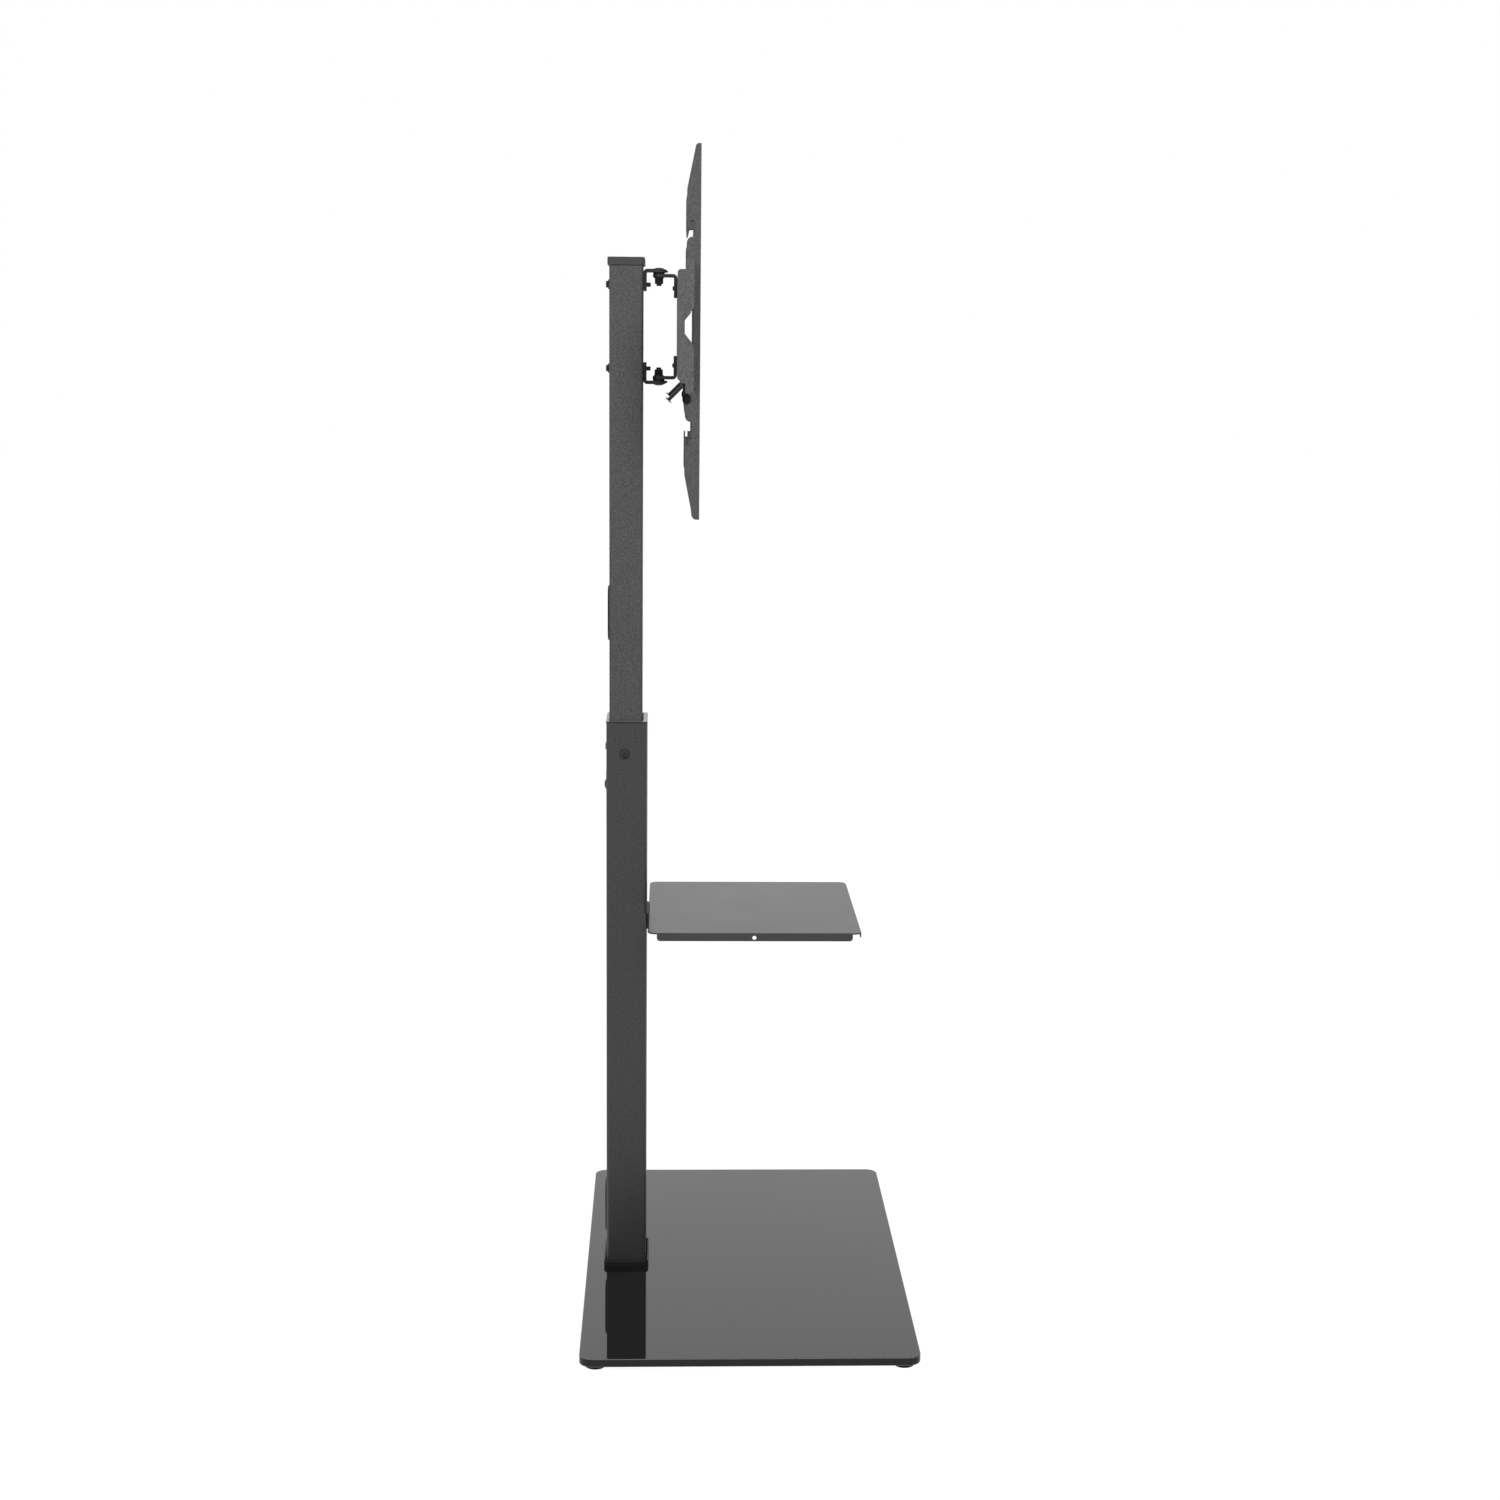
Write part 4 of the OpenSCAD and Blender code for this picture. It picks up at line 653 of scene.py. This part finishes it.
makeGlassBase(glassPlate)
makeFeet(feetSet)
for node, width in edgeWidths.items():
    piece = soften(node, pieceName(node) + "Piece", width)
    if node in threads:
        addThreads(piece, node)
print("stand: small pieces softened", len(edgeWidths))


# shelf: folded sheet, its folds rounded over
shelfSet = {"fold": 0.0014, "foldSteps": 4, "edge": 0.0003}


def makeShelf(s):
    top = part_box("shelf")[1].z

    def onRim(e):
        return near(e.verts[0].co.z, top) and near(e.verts[1].co.z, top)
    return soften("shelf", "shelfPiece", s["edge"], bends=[(onRim, s["fold"], s["foldSteps"])])


# head plate: pressed pan, its long bends of one sheet thickness
# pan: depth of the pan's floor and bends from its rear; rail: height of the lips that stay sharp
plateSet = {"bend": 0.0018, "bendSteps": 3, "edge": 0.0003, "pan": 0.0063, "rail": 0.005, "long": 0.1}


def makeHeadPlate(s):
    low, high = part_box("head_plate")

    def panBend(e):
        a, b = e.verts[0].co, e.verts[1].co
        inPan = a.y > high.y - s["pan"] and low.z + s["rail"] < a.z < high.z - s["rail"]
        return abs(a.x - b.x) > s["long"] and inPan
    return soften("head_plate", "headPlatePiece", s["edge"], bends=[(panBend, s["bend"], s["bendSteps"])])


# arms: channels folded from sheet, with round outer corners along the screen face
armSet = {"fold": 0.0022, "foldSteps": 5, "edge": 0.00025, "long": 0.05,
          "middle": {"left_arm": -0.1, "right_arm": 0.1}, "halfWidth": 0.017}


def makeArm(node, s):
    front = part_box(node)[0].y

    def atCorner(place):
        return near(place.y, front) and near(abs(place.x - s["middle"][node]), s["halfWidth"])

    def fold(e):
        a, b = e.verts[0].co, e.verts[1].co
        return abs(a.z - b.z) > s["long"] and atCorner(a) and atCorner(b)
    return soften(node, pieceName(node) + "Piece", s["edge"], bends=[(fold, s["fold"], s["foldSteps"])])


makeShelf(shelfSet)
makeHeadPlate(plateSet)
for node in ("left_arm", "right_arm"):
    makeArm(node, armSet)
print("stand: sheet metal folded")


# floor, world and light: a white sweep all round, a high key from the left, softer lamps from the
# left rear and the right front
stageSet = {
    "floorSize": 40,
    "floorTone": 0.8,     # the floor as the object's light and shadow see it
    "white": 1.22,        # the floor's own glow, as the eye and mirrors see it
    "share": 0.8,         # how much of that glow covers the shadow
    "lightLevel": 0.17,   # the world's light on the object
}
lamps = {   # spread in degrees
    "key": {"place": (-2.6, -0.40, 2.3), "aim": (0, 0.1, 1.28), "size": (0.8, 1.2),
            "power": 7.4, "spread": 60},
    "side": {"place": (-2.4, 1.7, 1.8), "aim": (0, 0.1, 1.1), "size": (1.2, 1.4),
             "power": 14, "spread": 110},
    "front": {"place": (2.7, -1.9, 1.9), "aim": (0, 0.05, 1.1), "size": (1.2, 1.4),
              "power": 20, "spread": 110},
}


def seenByEye(g):   # 1 for what the camera, a mirror or a glass sees directly
    path = g.tree.nodes.new("ShaderNodeLightPath")
    eye, glossy, clear = (Value(g, path.outputs[name]) for name in
                          ("Is Camera Ray", "Is Glossy Ray", "Is Transmission Ray"))
    return eye.most(glossy).most(clear)


def makeWorld(s):
    world = bpy.data.worlds.new("studio")
    scene.world = world
    g = Graph(world)
    level = seenByEye(g) * (1 - s["lightLevel"]) + s["lightLevel"]
    light = g.node("ShaderNodeBackground", None, {"Color": (1, 1, 1, 1), "Strength": level})
    g.node("ShaderNodeOutputWorld", None, {"Surface": light})


def makeFloor(s):
    clearSelection()
    bpy.ops.mesh.primitive_plane_add(size=s["floorSize"], location=(0, 0, 0))
    obj = bpy.context.object
    obj.name = "studioFloor"
    material, g = newMaterial("studioFloor")
    dull = g.node("ShaderNodeBsdfDiffuse", None, {"Color": (s["floorTone"],) * 3 + (1,)})
    bright = g.node("ShaderNodeEmission", None, {"Color": (1, 1, 1, 1), "Strength": s["white"]})
    both = g.node("ShaderNodeMixShader", None, [seenByEye(g) * s["share"], dull, bright])
    g.node("ShaderNodeOutputMaterial", None, {"Surface": both})
    obj.data.materials.append(material)


def addLamp(name, s):
    lamp = bpy.data.lights.new(name, "AREA")
    lamp.shape = "RECTANGLE"
    lamp.size, lamp.size_y = s["size"]
    lamp.energy = s["power"]
    lamp.spread = math.radians(s["spread"])
    obj = bpy.data.objects.new(name, lamp)
    obj.location = s["place"]
    obj.rotation_euler = (Vector(s["aim"]) - Vector(s["place"])).to_track_quat("-Z", "Y").to_euler()
    obj.visible_glossy = False   # the glass mirrors the white sweep alone
    scene.collection.objects.link(obj)


makeWorld(stageSet)
makeFloor(stageSet)
for name, spec in lamps.items():
    addLamp(name, spec)
scene.view_settings.view_transform = "Standard"
print("stand: stage and lamps set")
